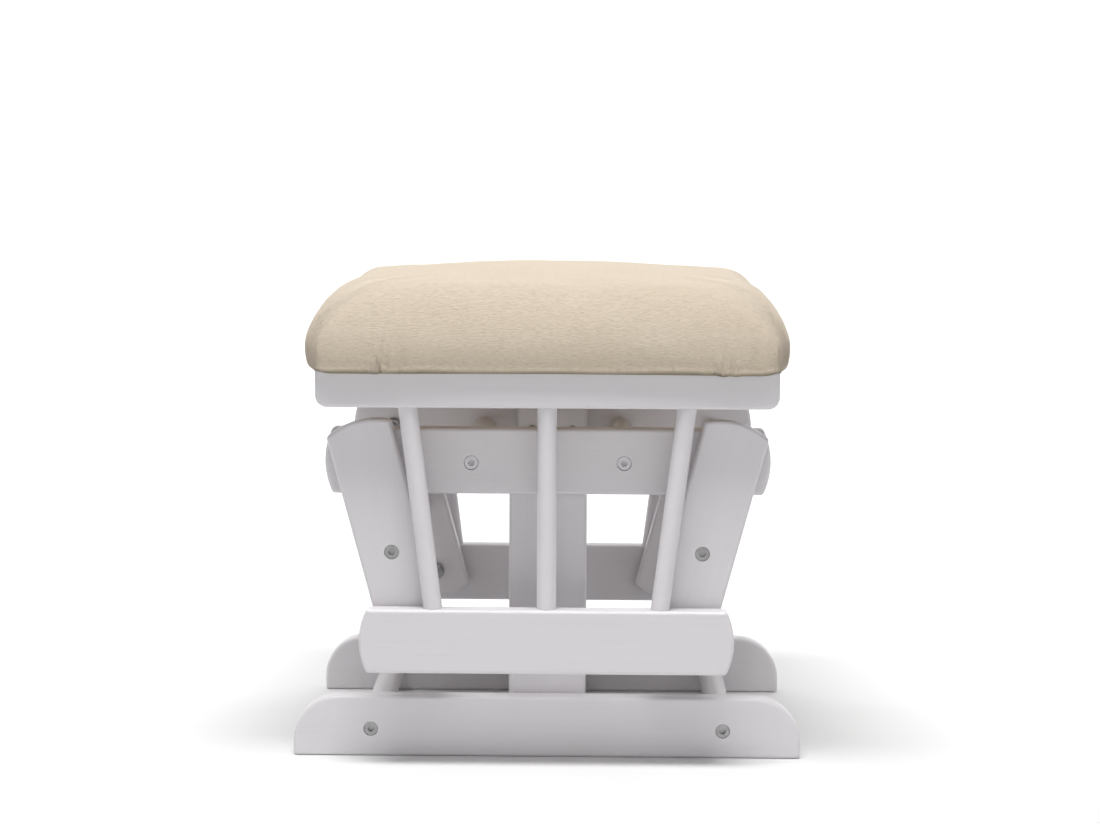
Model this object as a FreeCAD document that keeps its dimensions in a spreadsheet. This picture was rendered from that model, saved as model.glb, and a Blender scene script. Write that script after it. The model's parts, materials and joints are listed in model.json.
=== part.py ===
import FreeCAD, Part
import os
import re

import Sketcher
from FreeCAD import Placement, Rotation, Vector

# Glider ottoman: a fixed base, four swing arms in two rocking pairs, and a
# spindled seat frame with a box cushion that glides from side to side.
# Millimetres, +X along the glide, -Y to the front, +Z up. The origin is on
# the floor, below the middle of the base.

SIZES = (
    ("board_thickness", 20, "floor rails, posts, hanger boards and seat rails"),
    ("arm_thickness", 18, "swing arms"),
    ("edge_round", 3, "rounding of the boards' face edges"),
    ("corner_round", 3.5, "rounding of the boards' corners"),
    ("bar_diameter", 22, "round stretchers"),
    ("bar_chamfer", 1, "chamfer on the stretchers' ends"),
    ("side_gap", 2.5, "running gap between boards that pass each other"),
    ("floor_frame_width", 288.6, "over the outer faces of the floor rails"),
    ("floor_rail_length", 432, "floor rails, end to end"),
    ("floor_rail_height", 52, "floor rails"),
    ("floor_rail_nose", 39, "radius of the floor rails' top ends"),
    ("floor_bar_inset", 66, "floor stretchers' axes in from the floor rails' ends"),
    ("floor_bar_height", 23.5, "floor stretchers' axes above the floor"),
    ("post_width", 66, "centre posts"),
    ("post_foot", 3, "clearance of the posts above the floor"),
    ("post_rise", 21, "top of the posts above the upper pivots"),
    ("hanger_length", 363.4, "hanger boards, corner to corner"),
    ("hanger_height", 55.7, "hanger boards"),
    ("hanger_drop", 28, "underside of the hanger boards below the upper pivots"),
    ("end_bulge", 6.4, "rise of the boards' arched ends"),
    ("hanger_bar_spread", 129, "between the axes of the two upper stretchers"),
    ("hanger_bar_drop", 1.5, "upper stretchers' axes below the upper pivots"),
    ("upper_pivot_spread", 301, "between the left and right upper pivots"),
    ("upper_pivot_height", 254, "upper pivots above the floor"),
    ("lower_pivot_spread", 224.4, "between the left and right lower pivots"),
    ("lower_pivot_height", 112, "lower pivots above the floor, at rest"),
    ("arm_width", 55.5, "swing arms"),
    ("arm_top_reach", 29.8, "from the upper pivot to the arm's top corners"),
    ("arm_foot_reach", 20.2, "from the lower pivot to the arm's foot corners"),
    ("arm_bar_reach", 77.5, "from the upper pivot to the arm's stretcher"),
    ("lower_rail_length", 300, "lower rails, corner to corner"),
    ("lower_rail_height", 53.8, "lower rails"),
    ("lower_rail_drop", 31.7, "underside of the lower rails below the lower pivots"),
    ("top_rail_length", 384, "top rails"),
    ("top_rail_height", 32.5, "top rails and end rails"),
    ("seat_rise", 49, "underside of the top rails above the upper pivots, at rest"),
    ("top_rail_nose", 10, "radius of the top rails' bottom corners"),
    ("end_rail_inset", 5, "end rails in from the top rails' ends"),
    ("spindle_diameter", 16, "side spindles"),
    ("spindle_foot_spread", 189.8, "outer spindles at the lower rail's top edge"),
    ("spindle_head_spread", 231.6, "outer spindles at the top rail's underside"),
    ("tenon_diameter", 12, "tenons of the spindles"),
    ("tenon_length", 14, "tenons of the spindles, measured upright"),
    ("cleat_section", 15, "square ledgers that carry the slats"),
    ("slat_width", 56, "seat slats"),
    ("slat_thickness", 12, "seat slats"),
    ("slat_end_gap", 0.4, "between a slat's end and the top rail"),
    ("slat_chamfer", 1.5, "chamfer of the slats' long edges"),
    ("bearing_outside", 22, "ball bearings"),
    ("bearing_bore", 8, "ball bearings"),
    ("bearing_width", 7, "ball bearings"),
    ("bearing_inner_wall", 2, "inner rings of the bearings"),
    ("running_fit", 0.05, "radial gap of turning parts"),
    ("seat_fit", 0.05, "radial gap of parts set in bores"),
    ("pocket_clearance", 0.3, "between a part's end and its blind bore"),
    ("open_pivot_travel", 10.4, "sideways slack of the open pivots' pockets"),
    ("open_pivot_lift", 3, "upward and downward slack of those pockets"),
    ("collar_diameter", 11.5, "spacer collar on the pivot studs"),
    ("stud_tail", 2, "stud showing past its nut"),
    ("nut_across_flats", 13, "flange nuts on the studs"),
    ("nut_height", 7.5, "flange nuts"),
    ("flange_diameter", 17, "flange nuts"),
    ("flange_height", 1.6, "flange nuts"),
    ("bolt_diameter", 6, "bolts of the stretchers"),
    ("bolt_grip", 27, "bolt length past the counterbore's floor"),
    ("bolt_head_diameter", 11.5, "bolts of the stretchers"),
    ("bolt_head_height", 6, "bolts of the stretchers"),
    ("bolt_recess", 0.8, "bolt heads below the board's face"),
    ("head_clearance", 0.4, "radial gap round a head in its counterbore"),
    ("socket_across_flats", 5, "hexagon socket of the bolts"),
    ("socket_depth", 3, "hexagon socket of the bolts"),
    ("insert_diameter", 9, "threaded inserts in the stretchers' ends"),
    ("insert_length", 15, "threaded inserts in the stretchers' ends"),
    ("insert_bore_depth", 18, "bores for the inserts and the bolts' tips"),
    ("screw_diameter", 4, "wood screws"),
    ("screw_length", 30, "wood screws, under the head"),
    ("screw_tip", 4, "pointed end of the wood screws"),
    ("screw_head_diameter", 8, "wood screws"),
    ("screw_head_flat", 5.6, "flat top of the wood screws' heads"),
    ("screw_head_height", 2.4, "wood screws"),
    ("screw_head_sink", 0.2, "slat screws' heads below the slats' tops"),
    ("slat_screw_length", 22, "short wood screws of the slats"),
    ("post_screw_spread", 38, "between a post's two screws, sideways"),
    ("dowel_diameter", 8, "dowels of the end rails"),
    ("dowel_reach", 12, "dowel depth in each piece"),
    ("dowel_pitch", 14, "between the two dowels of a joint"),
    ("dowel_chamfer", 0.8, "dowels"),
    ("cushion_side_overhang", 8.5, "cushion past the top rails' ends"),
    ("cushion_front_overhang", 8.2, "cushion past the top rails' outer faces"),
    ("cushion_seat_gap", 0.3, "between the cushion and the frame that it rests on"),
    ("cushion_lap", 4.2, "hem of the cushion below the top of the rails"),
    ("cushion_hem_reach", 6.5, "how far the cushion's side rolls in at its hem"),
    ("cushion_side_rise", 23.7, "from the hem to the cushion's widest line"),
    ("cushion_shoulder_rise", 51, "from the widest line to the top of the shoulder"),
    ("cushion_shoulder_reach", 38, "how far the shoulder rolls in"),
    ("cushion_crown", 12.5, "rise of the crown above the shoulder"),
    ("cushion_corner", 36, "upright corners of the cushion at its widest line"),
)

# Faces that the pieces share, as distances from the middle plane Y = 0.
BASE_OUTER = "(floor_frame_width / 2)"
BASE_INNER = f"({BASE_OUTER} - board_thickness)"
ARM_INNER = f"({BASE_OUTER} + side_gap)"
ARM_OUTER = f"({ARM_INNER} + arm_thickness)"
SEAT_INNER = f"({ARM_OUTER} + side_gap)"
SEAT_OUTER = f"({SEAT_INNER} + board_thickness)"

ARM_LEAN = "((upper_pivot_spread - lower_pivot_spread) / 2)"
ARM_DROP = "(upper_pivot_height - lower_pivot_height)"
ARM_TILT = f"atan2({ARM_LEAN}; {ARM_DROP})"
PIVOT_REACH = f"sqrt({ARM_LEAN} ^ 2 + {ARM_DROP} ^ 2)"

FLOOR_BAR_SPREAD = "(floor_rail_length - 2 * floor_bar_inset)"
POST_TOP = "(upper_pivot_height + post_rise)"
HANGER_BOTTOM = "(upper_pivot_height - hanger_drop)"
HANGER_BAR_HEIGHT = "(upper_pivot_height - hanger_bar_drop)"
LOWER_RAIL_BOTTOM = "(lower_pivot_height - lower_rail_drop)"
LOWER_RAIL_TOP = f"({LOWER_RAIL_BOTTOM} + lower_rail_height)"
TOP_RAIL_BOTTOM = "(upper_pivot_height + seat_rise)"
TOP_RAIL_TOP = f"({TOP_RAIL_BOTTOM} + top_rail_height)"
SPINDLE_RISE = f"({TOP_RAIL_BOTTOM} - {LOWER_RAIL_TOP})"
SPINDLE_SPLAY = "((spindle_head_spread - spindle_foot_spread) / 2)"

HANGER_MIDDLE = f"({HANGER_BOTTOM} + hanger_height / 2)"

END_RAIL_OUTER = "(top_rail_length / 2 - end_rail_inset)"
END_RAIL_INNER = f"({END_RAIL_OUTER} - board_thickness)"
END_RAIL_SPREAD = f"({END_RAIL_OUTER} + {END_RAIL_INNER})"
CLEAT_TOP = f"({TOP_RAIL_TOP} - slat_thickness)"
CLEAT_BOTTOM = f"({CLEAT_TOP} - cleat_section)"

# The slats leave equal spaces between each other and the end rails.
SLAT_COUNT = 4
SLAT_SPACE = f"((2 * {END_RAIL_INNER} - {SLAT_COUNT} * slat_width) / {SLAT_COUNT + 1})"
SLAT_PITCH = f"(slat_width + {SLAT_SPACE})"
SLAT_PLACES = [f"({step - (SLAT_COUNT - 1) / 2} * {SLAT_PITCH})" for step in range(SLAT_COUNT)]
# The cleats' screws are in those spaces, but not in the middle one, where a spindle's tenon is.
SPACE_PLACES = [f"({step - SLAT_COUNT / 2} * {SLAT_PITCH})" for step in range(SLAT_COUNT + 1)]
CLEAT_SCREW_PLACES = SPACE_PLACES[:2] + SPACE_PLACES[3:]
DOWEL_HEIGHTS = [f"(top_rail_height / 2 + {step} * dowel_pitch / 2)" for step in (-1, 1)]

BEARING_SEAT = "(bearing_outside + 2 * seat_fit)"
BEARING_POCKET = "(bearing_width + 2 * pocket_clearance)"
COLLAR_LENGTH = "(side_gap + pocket_clearance)"
COUNTERBORE = "(bolt_head_height + bolt_recess)"
SCREW_HOLE = "(screw_diameter + 2 * seat_fit)"
SLAT_RECESS = "(screw_head_height + screw_head_sink)"
DOWEL_HOLE = "(dowel_diameter + 2 * seat_fit)"
POST_SCREW_BITE = "(screw_length - board_thickness + pocket_clearance)"
SLAT_SCREW_BITE = f"(slat_screw_length - slat_thickness + {SLAT_RECESS} + pocket_clearance)"

# The cushion's side is drawn through sections at these shares of its hem,
# its shoulder and its crown; the shoulder is a superellipse.
HEM_SHARES = (1, 0.8, 0.4)
SHOULDER_SHARES = (0, 0.3, 0.55, 0.75, 0.9)
SHOULDER_POWER = 1.6
CROWN_SHARES = (1, 0.75, 0.45, 0.2)
CORNER_SHARE = 0.85

# Spans and distances below this count as none.
NEAR = 0.01

# Which way +Y of a piece drawn once is turned where it is used.
FORWARD = Rotation()
BACKWARD = Rotation(Vector(0, 0, 1), 180)
DOWNWARD = Rotation(Vector(1, 0, 0), -90)

SIDES = (("front", -1), ("back", 1))
HANDS = (("left", -1), ("right", 1))
SPINDLES = (("left", -1), ("middle", 0), ("right", 1))
TURNS = {-1: FORWARD, 1: BACKWARD}

doc = FreeCAD.newDocument("glider_ottoman")
sheet = doc.addObject("Spreadsheet::Sheet", "Sizes")
sub_parts = []


def fill_sheet():
    """Write each size, its value and its note, and name the value's cell."""
    for row, (alias, value, note) in enumerate(SIZES, start=1):
        sheet.set(f"A{row}", alias)
        sheet.set(f"B{row}", str(value))
        sheet.set(f"C{row}", note)
        sheet.setAlias(f"B{row}", alias)
    doc.recompute()


def qualified(formula):
    """Give each size in a formula the sheet's name."""
    aliases = {alias for alias, value, note in SIZES}
    return re.sub(r"[a-z_]+\d?", lambda word: f"Sizes.{word[0]}" if word[0] in aliases else word[0], formula)


def amount(formula):
    """The number that a formula gives with the present sizes."""
    result = sheet.evalExpression(qualified(formula))
    return float(getattr(result, "Value", result))


def bind(target, path, formula):
    """Tie a property of an object to a formula."""
    target.setExpression(path, qualified(formula))


def new_body(label):
    """A body for one piece."""
    body = doc.addObject("PartDesign::Body", label)
    body.Label = label
    return body


def keep(piece):
    """Count a piece among those that make up the product."""
    sub_parts.append(piece)
    return piece


def put(piece, x="0", y="0", z="0", rotation=Rotation()):
    """Place a piece by formulas."""
    piece.Placement = Placement(Vector(amount(x), amount(y), amount(z)), rotation)
    bind(piece, "Placement.Base.x", x)
    bind(piece, "Placement.Base.y", y)
    bind(piece, "Placement.Base.z", z)


def new_sketch(body, role, level="0"):
    """A sketch on one of the body's own planes, moved along its normal."""
    plane = next(item for item in body.Origin.OriginFeatures if item.Role == role)
    sketch = body.newObject("Sketcher::SketchObject", f"{body.Name}_sketch")
    sketch.AttachmentSupport = (plane, [""])
    sketch.MapMode = "FlatFace"
    bind(sketch, "AttachmentOffset.Base.z", level)
    return sketch


def fix_point(sketch, geometry, end, x, y):
    """Hold a point of a sketch at two formulas from the origin."""
    for kind, axis, formula in (("DistanceX", -2, x), ("DistanceY", -1, y)):
        if formula == "0":
            sketch.addConstraint(Sketcher.Constraint("PointOnObject", geometry, end, axis))
            continue
        number = sketch.addConstraint(Sketcher.Constraint(kind, -1, 1, geometry, end, amount(formula)))
        bind(sketch, f"Constraints[{number}]", formula)


def draw_outline(sketch, corners, bulges=None):
    """Draw a closed outline, with an arc where a side has a bulge."""
    bulges = bulges or {}
    points = [Vector(amount(x), amount(y), 0) for x, y in corners]
    count = len(points)
    for index, start in enumerate(points):
        end = points[(index + 1) % count]
        side = end - start
        if index in bulges:
            outward = Vector(side.y, -side.x, 0).normalize()
            crest = (start + end) / 2 + outward * amount(bulges[index])
            sketch.addGeometry(Part.Arc(start, crest, end), False)
        else:
            sketch.addGeometry(Part.LineSegment(start, end), False)
    # An arc runs anticlockwise from its first point, as the outlines do.
    for index in range(count):
        sketch.addConstraint(Sketcher.Constraint("Coincident", index, 2, (index + 1) % count, 1))
        fix_point(sketch, index, 1, *corners[index])
    for index, bulge in bulges.items():
        chord = (points[(index + 1) % count] - points[index]).Length
        radius = chord ** 2 / (8 * amount(bulge)) + amount(bulge) / 2
        number = sketch.addConstraint(Sketcher.Constraint("Radius", index, radius))
        start, end = corners[index], corners[(index + 1) % count]
        span = f"(({end[0]}) - ({start[0]})) ^ 2 + (({end[1]}) - ({start[1]})) ^ 2"
        bind(sketch, f"Constraints[{number}]", f"({span}) / (8 * {bulge}) + {bulge} / 2")


def draw_circles(sketch, spots, diameter):
    """Draw equal circles at the given places."""
    for x, y in spots:
        centre = Vector(amount(x), amount(y), 0)
        circle = sketch.addGeometry(Part.Circle(centre, Vector(0, 0, 1), amount(diameter) / 2), False)
        fix_point(sketch, circle, 3, x, y)
        number = sketch.addConstraint(Sketcher.Constraint("Diameter", circle, amount(diameter)))
        bind(sketch, f"Constraints[{number}]", diameter)


def add_feature(body, kind, profile, length=None, reverse=False, direction=None):
    """Add a pad or pocket of a sketch to a body."""
    feature = body.newObject(f"PartDesign::{kind}", f"{body.Name}_{kind.lower()}")
    feature.Profile = profile
    feature.Reversed = reverse
    if length is None:
        feature.Type = "ThroughAll"
    else:
        bind(feature, "Length", length)
    if direction:
        feature.UseCustomVector = True
        feature.AlongSketchNormal = True
        for axis, formula in zip("xyz", direction):
            bind(feature, f"Direction.{axis}", formula)
    body.Tip = feature
    return feature


def revolve(body, corners):
    """Turn an outline of radius and length about the body's Y axis."""
    sketch = new_sketch(body, "XY_Plane")
    draw_outline(sketch, corners)
    feature = body.newObject("PartDesign::Revolution", f"{body.Name}_turned")
    feature.Profile = sketch
    feature.ReferenceAxis = (sketch, ["V_Axis"])
    feature.Angle = 360
    body.Tip = feature


def dress(body, kind, path, size, picks):
    """Fillet or chamfer the edges that a test picks on the body so far."""
    doc.recompute()
    base = body.Tip
    names = [f"Edge{number}" for number, edge in enumerate(base.Shape.Edges, start=1) if picks(edge)]
    feature = body.newObject(f"PartDesign::{kind}", f"{body.Name}_{kind.lower()}")
    feature.Base = (base, names)
    bind(feature, path, size)
    body.Tip = feature


def runs_along(axis):
    """A test for straight edges along an axis."""
    def test(edge):
        box = edge.BoundBox
        spans = {"x": box.XLength, "y": box.YLength, "z": box.ZLength}
        along = spans.pop(axis)
        return along > NEAR and max(spans.values()) < NEAR
    return test


def lies_across(axis):
    """A test for edges in a plane square to an axis."""
    def test(edge):
        box = edge.BoundBox
        return {"x": box.XLength, "y": box.YLength, "z": box.ZLength}[axis] < NEAR
    return test


class Board:
    """A flat board drawn on its outer face, which is at Y = 0 of its body."""

    def __init__(self, label, side, thickness):
        self.body = new_body(label)
        self.side = side
        self.thickness = thickness

    def cut_from(self, corners, bulges=None):
        """Give the board its outline."""
        sketch = new_sketch(self.body, "XZ_Plane")
        draw_outline(sketch, corners, bulges)
        add_feature(self.body, "Pad", sketch, self.thickness, reverse=self.side < 0)

    def round_corners(self, radius, part=None):
        """Round all corners of the outline, or only those at its top or bottom."""
        doc.recompute()
        middle = self.body.Shape.BoundBox.Center.z
        straight = runs_along("y")

        def picks(edge):
            height = edge.BoundBox.Center.z
            fits = part is None or (height > middle) == (part == "top")
            return fits and straight(edge)

        dress(self.body, "Fillet", "Radius", radius, picks)

    def round_faces(self):
        """Round the edges of both faces."""
        dress(self.body, "Fillet", "Radius", "edge_round", lies_across("y"))

    def bore_outside(self, spots, diameter, depth=None):
        """Bore into the outer face, or right through."""
        sketch = new_sketch(self.body, "XZ_Plane")
        draw_circles(sketch, spots, diameter)
        add_feature(self.body, "Pocket", sketch, depth, reverse=self.side > 0)

    def inside_sketch(self):
        """A sketch on the inner face."""
        return new_sketch(self.body, "XZ_Plane", f"{self.side} * {self.thickness}")

    def bore_inside(self, spots, diameter, depth):
        """Bore a blind hole into the inner face."""
        sketch = self.inside_sketch()
        draw_circles(sketch, spots, diameter)
        add_feature(self.body, "Pocket", sketch, depth, reverse=self.side < 0)

    def cut_inside(self, outline, depth):
        """Cut a blind pocket of any outline into the inner face."""
        sketch = self.inside_sketch()
        draw_outline(sketch, *outline)
        add_feature(self.body, "Pocket", sketch, depth, reverse=self.side < 0)

    def bore_down(self, spots, top, diameter, depth=None):
        """Bore holes down from the top edge; places are X and Y of the body."""
        sketch = new_sketch(self.body, "XY_Plane", top)
        draw_circles(sketch, spots, diameter)
        add_feature(self.body, "Pocket", sketch, depth)

    def mortise(self, edge, x, hand, upward):
        """Bore a mortise for a leaning spindle into the top or bottom edge."""
        sketch = new_sketch(self.body, "XY_Plane", edge)
        draw_circles(sketch, [(x, f"{-self.side} * {self.thickness} / 2")], "tenon_diameter + 2 * seat_fit")
        sign = 1 if upward else -1
        way = (f"{sign * hand} * {SPINDLE_SPLAY}", "0", f"{sign} * {SPINDLE_RISE}")
        add_feature(self.body, "Pocket", sketch, "tenon_length + pocket_clearance", direction=way)

    def bolt_holes(self, spots):
        """Counterbored holes for bolts that hold a stretcher."""
        self.bore_outside(spots, "bolt_head_diameter + 2 * head_clearance", COUNTERBORE)
        self.bore_outside(spots, "bolt_diameter + 2 * seat_fit")

    def finish(self, outer, x="0", z="0", rotation=Rotation()):
        """Set the board's outer face at its distance from the middle."""
        put(self.body, x, f"{self.side} * {outer}", z, rotation)
        return keep(self.body)


def pair(spread, height="0"):
    """Two places to either side of the middle."""
    return [(f"{hand} * {spread} / 2", height) for name, hand in HANDS]


def group(label, pattern, spots):
    """One node of equal solids: copies of a pattern piece at given places."""
    copies = []
    for x, y, z, rotation in spots:
        copy = doc.addObject("App::Link", f"{label}_copy")
        copy.LinkedObject = pattern
        put(copy, x, y, z, rotation)
        copies.append(copy)
    node = doc.addObject("Part::Compound", label)
    node.Label = label
    node.Links = copies
    return keep(node)


def rectangle(left, right, bottom, top):
    """Corners of an upright rectangle, anticlockwise."""
    return [(left, bottom), (right, bottom), (right, top), (left, top)]


def rounded(left, right, low, high, radius):
    """Outline of a rectangle grown by a radius on all sides, with its arcs' bulges."""
    corners = [(left, f"{low} - {radius}"), (right, f"{low} - {radius}"),
               (f"{right} + {radius}", low), (f"{right} + {radius}", high),
               (right, f"{high} + {radius}"), (left, f"{high} + {radius}"),
               (f"{left} - {radius}", high), (f"{left} - {radius}", low)]
    quarter = f"((1 - sqrt(0.5)) * {radius})"
    return corners, {index: quarter for index in (1, 3, 5, 7)}


def hexagon(across_flats):
    """Corners of a hexagon from its size across flats."""
    tip = f"{across_flats} / sqrt(3)"
    flat = f"{across_flats} / 2"
    return [(tip, "0"), (f"{tip} / 2", flat), (f"-{tip} / 2", flat),
            (f"-{tip}", "0"), (f"-{tip} / 2", f"-{flat}"), (f"{tip} / 2", f"-{flat}")]


def floor_rail(name, side):
    """Floor rail: flat underside and broad round top ends."""
    rail = Board(f"{name}_floor_rail", side, "board_thickness")
    half = "floor_rail_length / 2"
    rail.cut_from(rectangle(f"-{half}", half, "0", "floor_rail_height"))
    rail.round_corners("corner_round", "bottom")
    rail.round_corners("floor_rail_nose", "top")
    rail.round_faces()
    rail.bolt_holes(pair(FLOOR_BAR_SPREAD, "floor_bar_height"))
    rail.bore_inside(pair("post_screw_spread", "floor_rail_height / 2"), SCREW_HOLE, POST_SCREW_BITE)
    rail.finish(BASE_OUTER)


def post(name, side):
    """Centre post: stands on the inner faces of the floor rail and the hanger board."""
    board = Board(f"{name}_post", side, "board_thickness")
    half = "post_width / 2"
    board.cut_from(rectangle(f"-{half}", half, "post_foot", POST_TOP))
    board.round_corners("corner_round")
    board.round_faces()
    spots = pair("post_screw_spread", "floor_rail_height / 2") + pair("post_screw_spread", HANGER_MIDDLE)
    board.bore_outside(spots, SCREW_HOLE)
    board.finish(BASE_INNER)


def hanger_board(name, side):
    """Hanger board: carries the upper pivots and ties the frame at the top."""
    board = Board(f"{name}_hanger_board", side, "board_thickness")
    half = "hanger_length / 2"
    top = f"({HANGER_BOTTOM} + hanger_height)"
    ends = {1: "end_bulge", 3: "end_bulge"}
    board.cut_from(rectangle(f"-{half}", half, HANGER_BOTTOM, top), ends)
    board.round_corners("corner_round")
    board.round_faces()
    board.bolt_holes(pair("hanger_bar_spread", HANGER_BAR_HEIGHT))
    board.bore_outside(pair("upper_pivot_spread", "upper_pivot_height"), "bearing_bore")
    board.bore_inside(pair("post_screw_spread", HANGER_MIDDLE), SCREW_HOLE, POST_SCREW_BITE)
    board.finish(BASE_OUTER)


def swing_arm(hand_name, hand, name, side):
    """Swing arm, drawn along X from its upper pivot and leant to its place."""
    arm = Board(f"{hand_name}_{name}_swing_arm", side, "arm_thickness")
    half = "arm_width / 2"
    foot = f"{PIVOT_REACH} + arm_foot_reach"
    ends = {1: "end_bulge", 3: "end_bulge"}
    arm.cut_from(rectangle("-arm_top_reach", foot, f"-{half}", half), ends)
    arm.round_corners("corner_round")
    arm.round_faces()
    arm.bore_inside([("0", "0")], BEARING_SEAT, BEARING_POCKET)
    arm.bore_outside([(PIVOT_REACH, "0")], "bearing_bore")
    arm.bolt_holes([("arm_bar_reach", "0")])
    angle = f"90 deg + {hand} * {ARM_TILT}"
    arm.finish(ARM_OUTER, f"{hand} * upper_pivot_spread / 2", "upper_pivot_height",
               Rotation(Vector(0, 1, 0), amount(angle)))
    bind(arm.body, "Placement.Rotation.Angle", angle)


def lower_rail(name, side):
    """Lower rail of the seat frame: bearing pockets inside, spindle mortises on top."""
    rail = Board(f"{name}_lower_rail", side, "board_thickness")
    half = "lower_rail_length / 2"
    ends = {1: "end_bulge", 3: "end_bulge"}
    rail.cut_from(rectangle(f"-{half}", half, "0", "lower_rail_height"), ends)
    rail.round_corners("corner_round")
    rail.round_faces()
    pivot = "lower_rail_drop"
    rail.bore_inside([("-lower_pivot_spread / 2", pivot)], BEARING_SEAT, BEARING_POCKET)
    rail.cut_inside(slack_pocket("lower_pivot_spread / 2", pivot), BEARING_POCKET)
    for place_name, hand in SPINDLES:
        rail.mortise("lower_rail_height", f"{hand} * spindle_foot_spread / 2", hand, upward=False)
    rail.finish(SEAT_OUTER, z=LOWER_RAIL_BOTTOM)


def slack_pocket(x, y):
    """Outline of a pocket in which a bearing has slack along and across."""
    return rounded(x, f"{x} + open_pivot_travel", f"{y} - open_pivot_lift", f"{y} + open_pivot_lift",
                   f"({BEARING_SEAT} / 2)")


def top_rail(name, side):
    """Top rail of the seat frame, with dowel bores and spindle mortises."""
    rail = Board(f"{name}_top_rail", side, "board_thickness")
    half = "top_rail_length / 2"
    rail.cut_from(rectangle(f"-{half}", half, "0", "top_rail_height"))
    rail.round_corners("corner_round", "top")
    rail.round_corners("top_rail_nose", "bottom")
    rail.round_faces()
    for place_name, hand in SPINDLES:
        rail.mortise("0", f"{hand} * spindle_head_spread / 2", hand, upward=True)
    dowels = [spot for height in DOWEL_HEIGHTS for spot in pair(END_RAIL_SPREAD, height)]
    rail.bore_inside(dowels, DOWEL_HOLE, "dowel_reach + pocket_clearance")
    rail.bore_inside(cleat_screw_spots(f"{CLEAT_BOTTOM} + cleat_section / 2 - {TOP_RAIL_BOTTOM}"),
                     SCREW_HOLE, "screw_length - cleat_section + pocket_clearance")
    rail.finish(SEAT_OUTER, z=TOP_RAIL_BOTTOM)


def cleat_screw_spots(height):
    """Places of a cleat's screws at one height."""
    return [(x, height) for x in CLEAT_SCREW_PLACES]


def end_rail(hand_name, hand):
    """End rail between the top rails, held by two dowels at each end."""
    rail = Board(f"{hand_name}_end_rail", -1, f"(2 * {SEAT_INNER})")
    half = "board_thickness / 2"
    rail.cut_from(rectangle(f"-{half}", half, "0", "top_rail_height"))
    dress(rail.body, "Fillet", "Radius", "edge_round", runs_along("y"))
    spots = [("0", height) for height in DOWEL_HEIGHTS]
    rail.bore_outside(spots, DOWEL_HOLE, "dowel_reach + pocket_clearance")
    rail.bore_inside(spots, DOWEL_HOLE, "dowel_reach + pocket_clearance")
    rail.finish(SEAT_INNER, f"{hand} * {END_RAIL_SPREAD} / 2", TOP_RAIL_BOTTOM)


def cleat(name, side):
    """Ledger screwed along the inside of a top rail, under the slats."""
    ledger = Board(f"{name}_cleat", side, "cleat_section")
    ledger.cut_from(rectangle(f"-{END_RAIL_INNER}", END_RAIL_INNER, "0", "cleat_section"))
    ledger.bore_outside(cleat_screw_spots("cleat_section / 2"), SCREW_HOLE)
    across = f"{-side} * cleat_section / 2"
    ledger.bore_down([(x, across) for x in SLAT_PLACES], "cleat_section", SCREW_HOLE, SLAT_SCREW_BITE)
    ledger.finish(SEAT_INNER, z=CLEAT_BOTTOM)


def slat(number, x):
    """Slat that lies on both cleats and is screwed down at each end."""
    length = f"(2 * ({SEAT_INNER} - slat_end_gap))"
    board = Board(f"slat_{number}", -1, length)
    half = "slat_width / 2"
    board.cut_from(rectangle(f"-{half}", half, "0", "slat_thickness"))
    dress(board.body, "Chamfer", "Size", "slat_chamfer", runs_along("y"))
    reach = "(cleat_section / 2 - slat_end_gap)"
    spots = [("0", reach), ("0", f"{length} - {reach}")]
    board.bore_down(spots, "slat_thickness", "screw_head_diameter + 2 * head_clearance", SLAT_RECESS)
    board.bore_down(spots, "slat_thickness", SCREW_HOLE)
    board.finish(f"({SEAT_INNER} - slat_end_gap)", x, CLEAT_TOP)


def spindle(name, side, place_name, hand):
    """Round spindle that splays with the side, with a tenon at each end."""
    body = new_body(f"{name}_{place_name}_spindle")
    lean = f"{hand} * {SPINDLE_SPLAY}"
    way = (lean, "0", SPINDLE_RISE)
    shaft = new_sketch(body, "XY_Plane")
    draw_circles(shaft, [("0", "0")], "spindle_diameter")
    add_feature(body, "Pad", shaft, SPINDLE_RISE, direction=way)
    tenon = new_sketch(body, "XY_Plane", "-tenon_length")
    start = f"-{lean} * tenon_length / {SPINDLE_RISE}" if hand else "0"
    draw_circles(tenon, [(start, "0")], "tenon_diameter")
    add_feature(body, "Pad", tenon, f"{SPINDLE_RISE} + 2 * tenon_length", direction=way)
    middle = f"{side} * ({SEAT_OUTER} - board_thickness / 2)"
    put(body, f"{hand} * spindle_foot_spread / 2", middle, LOWER_RAIL_TOP)
    keep(body)


def stretcher(label, inner, x, z):
    """Round bar between two boards, bored at each end for an insert."""
    body = new_body(label)
    floor = f"({inner} - insert_bore_depth)"
    bore = "(insert_diameter / 2 + seat_fit)"
    rim = "bar_diameter / 2"
    half = [("0", floor), (bore, floor), (bore, inner),
            (f"{rim} - bar_chamfer", inner), (rim, f"{inner} - bar_chamfer")]
    mirrored = [(radius, f"-({reach})") for radius, reach in reversed(half)]
    revolve(body, half + mirrored)
    put(body, x, "0", z)
    keep(body)


def turned(label, corners):
    """A pattern piece turned about Y, which points into the object."""
    body = new_body(label)
    revolve(body, corners)
    return body


def stud(label, grip):
    """Pivot stud: journal for the bearing, spacer collar, then the threaded end."""
    shank = "(bearing_bore / 2 - seat_fit)"
    collar = "collar_diameter / 2"
    step = f"(bearing_width + {COLLAR_LENGTH})"
    end = f"{step} + {grip} + nut_height + stud_tail"
    return turned(label, [("0", "0"), (shank, "0"), (shank, "bearing_width"), (collar, "bearing_width"),
                          (collar, step), (shank, step), (shank, end), ("0", end)])


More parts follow.
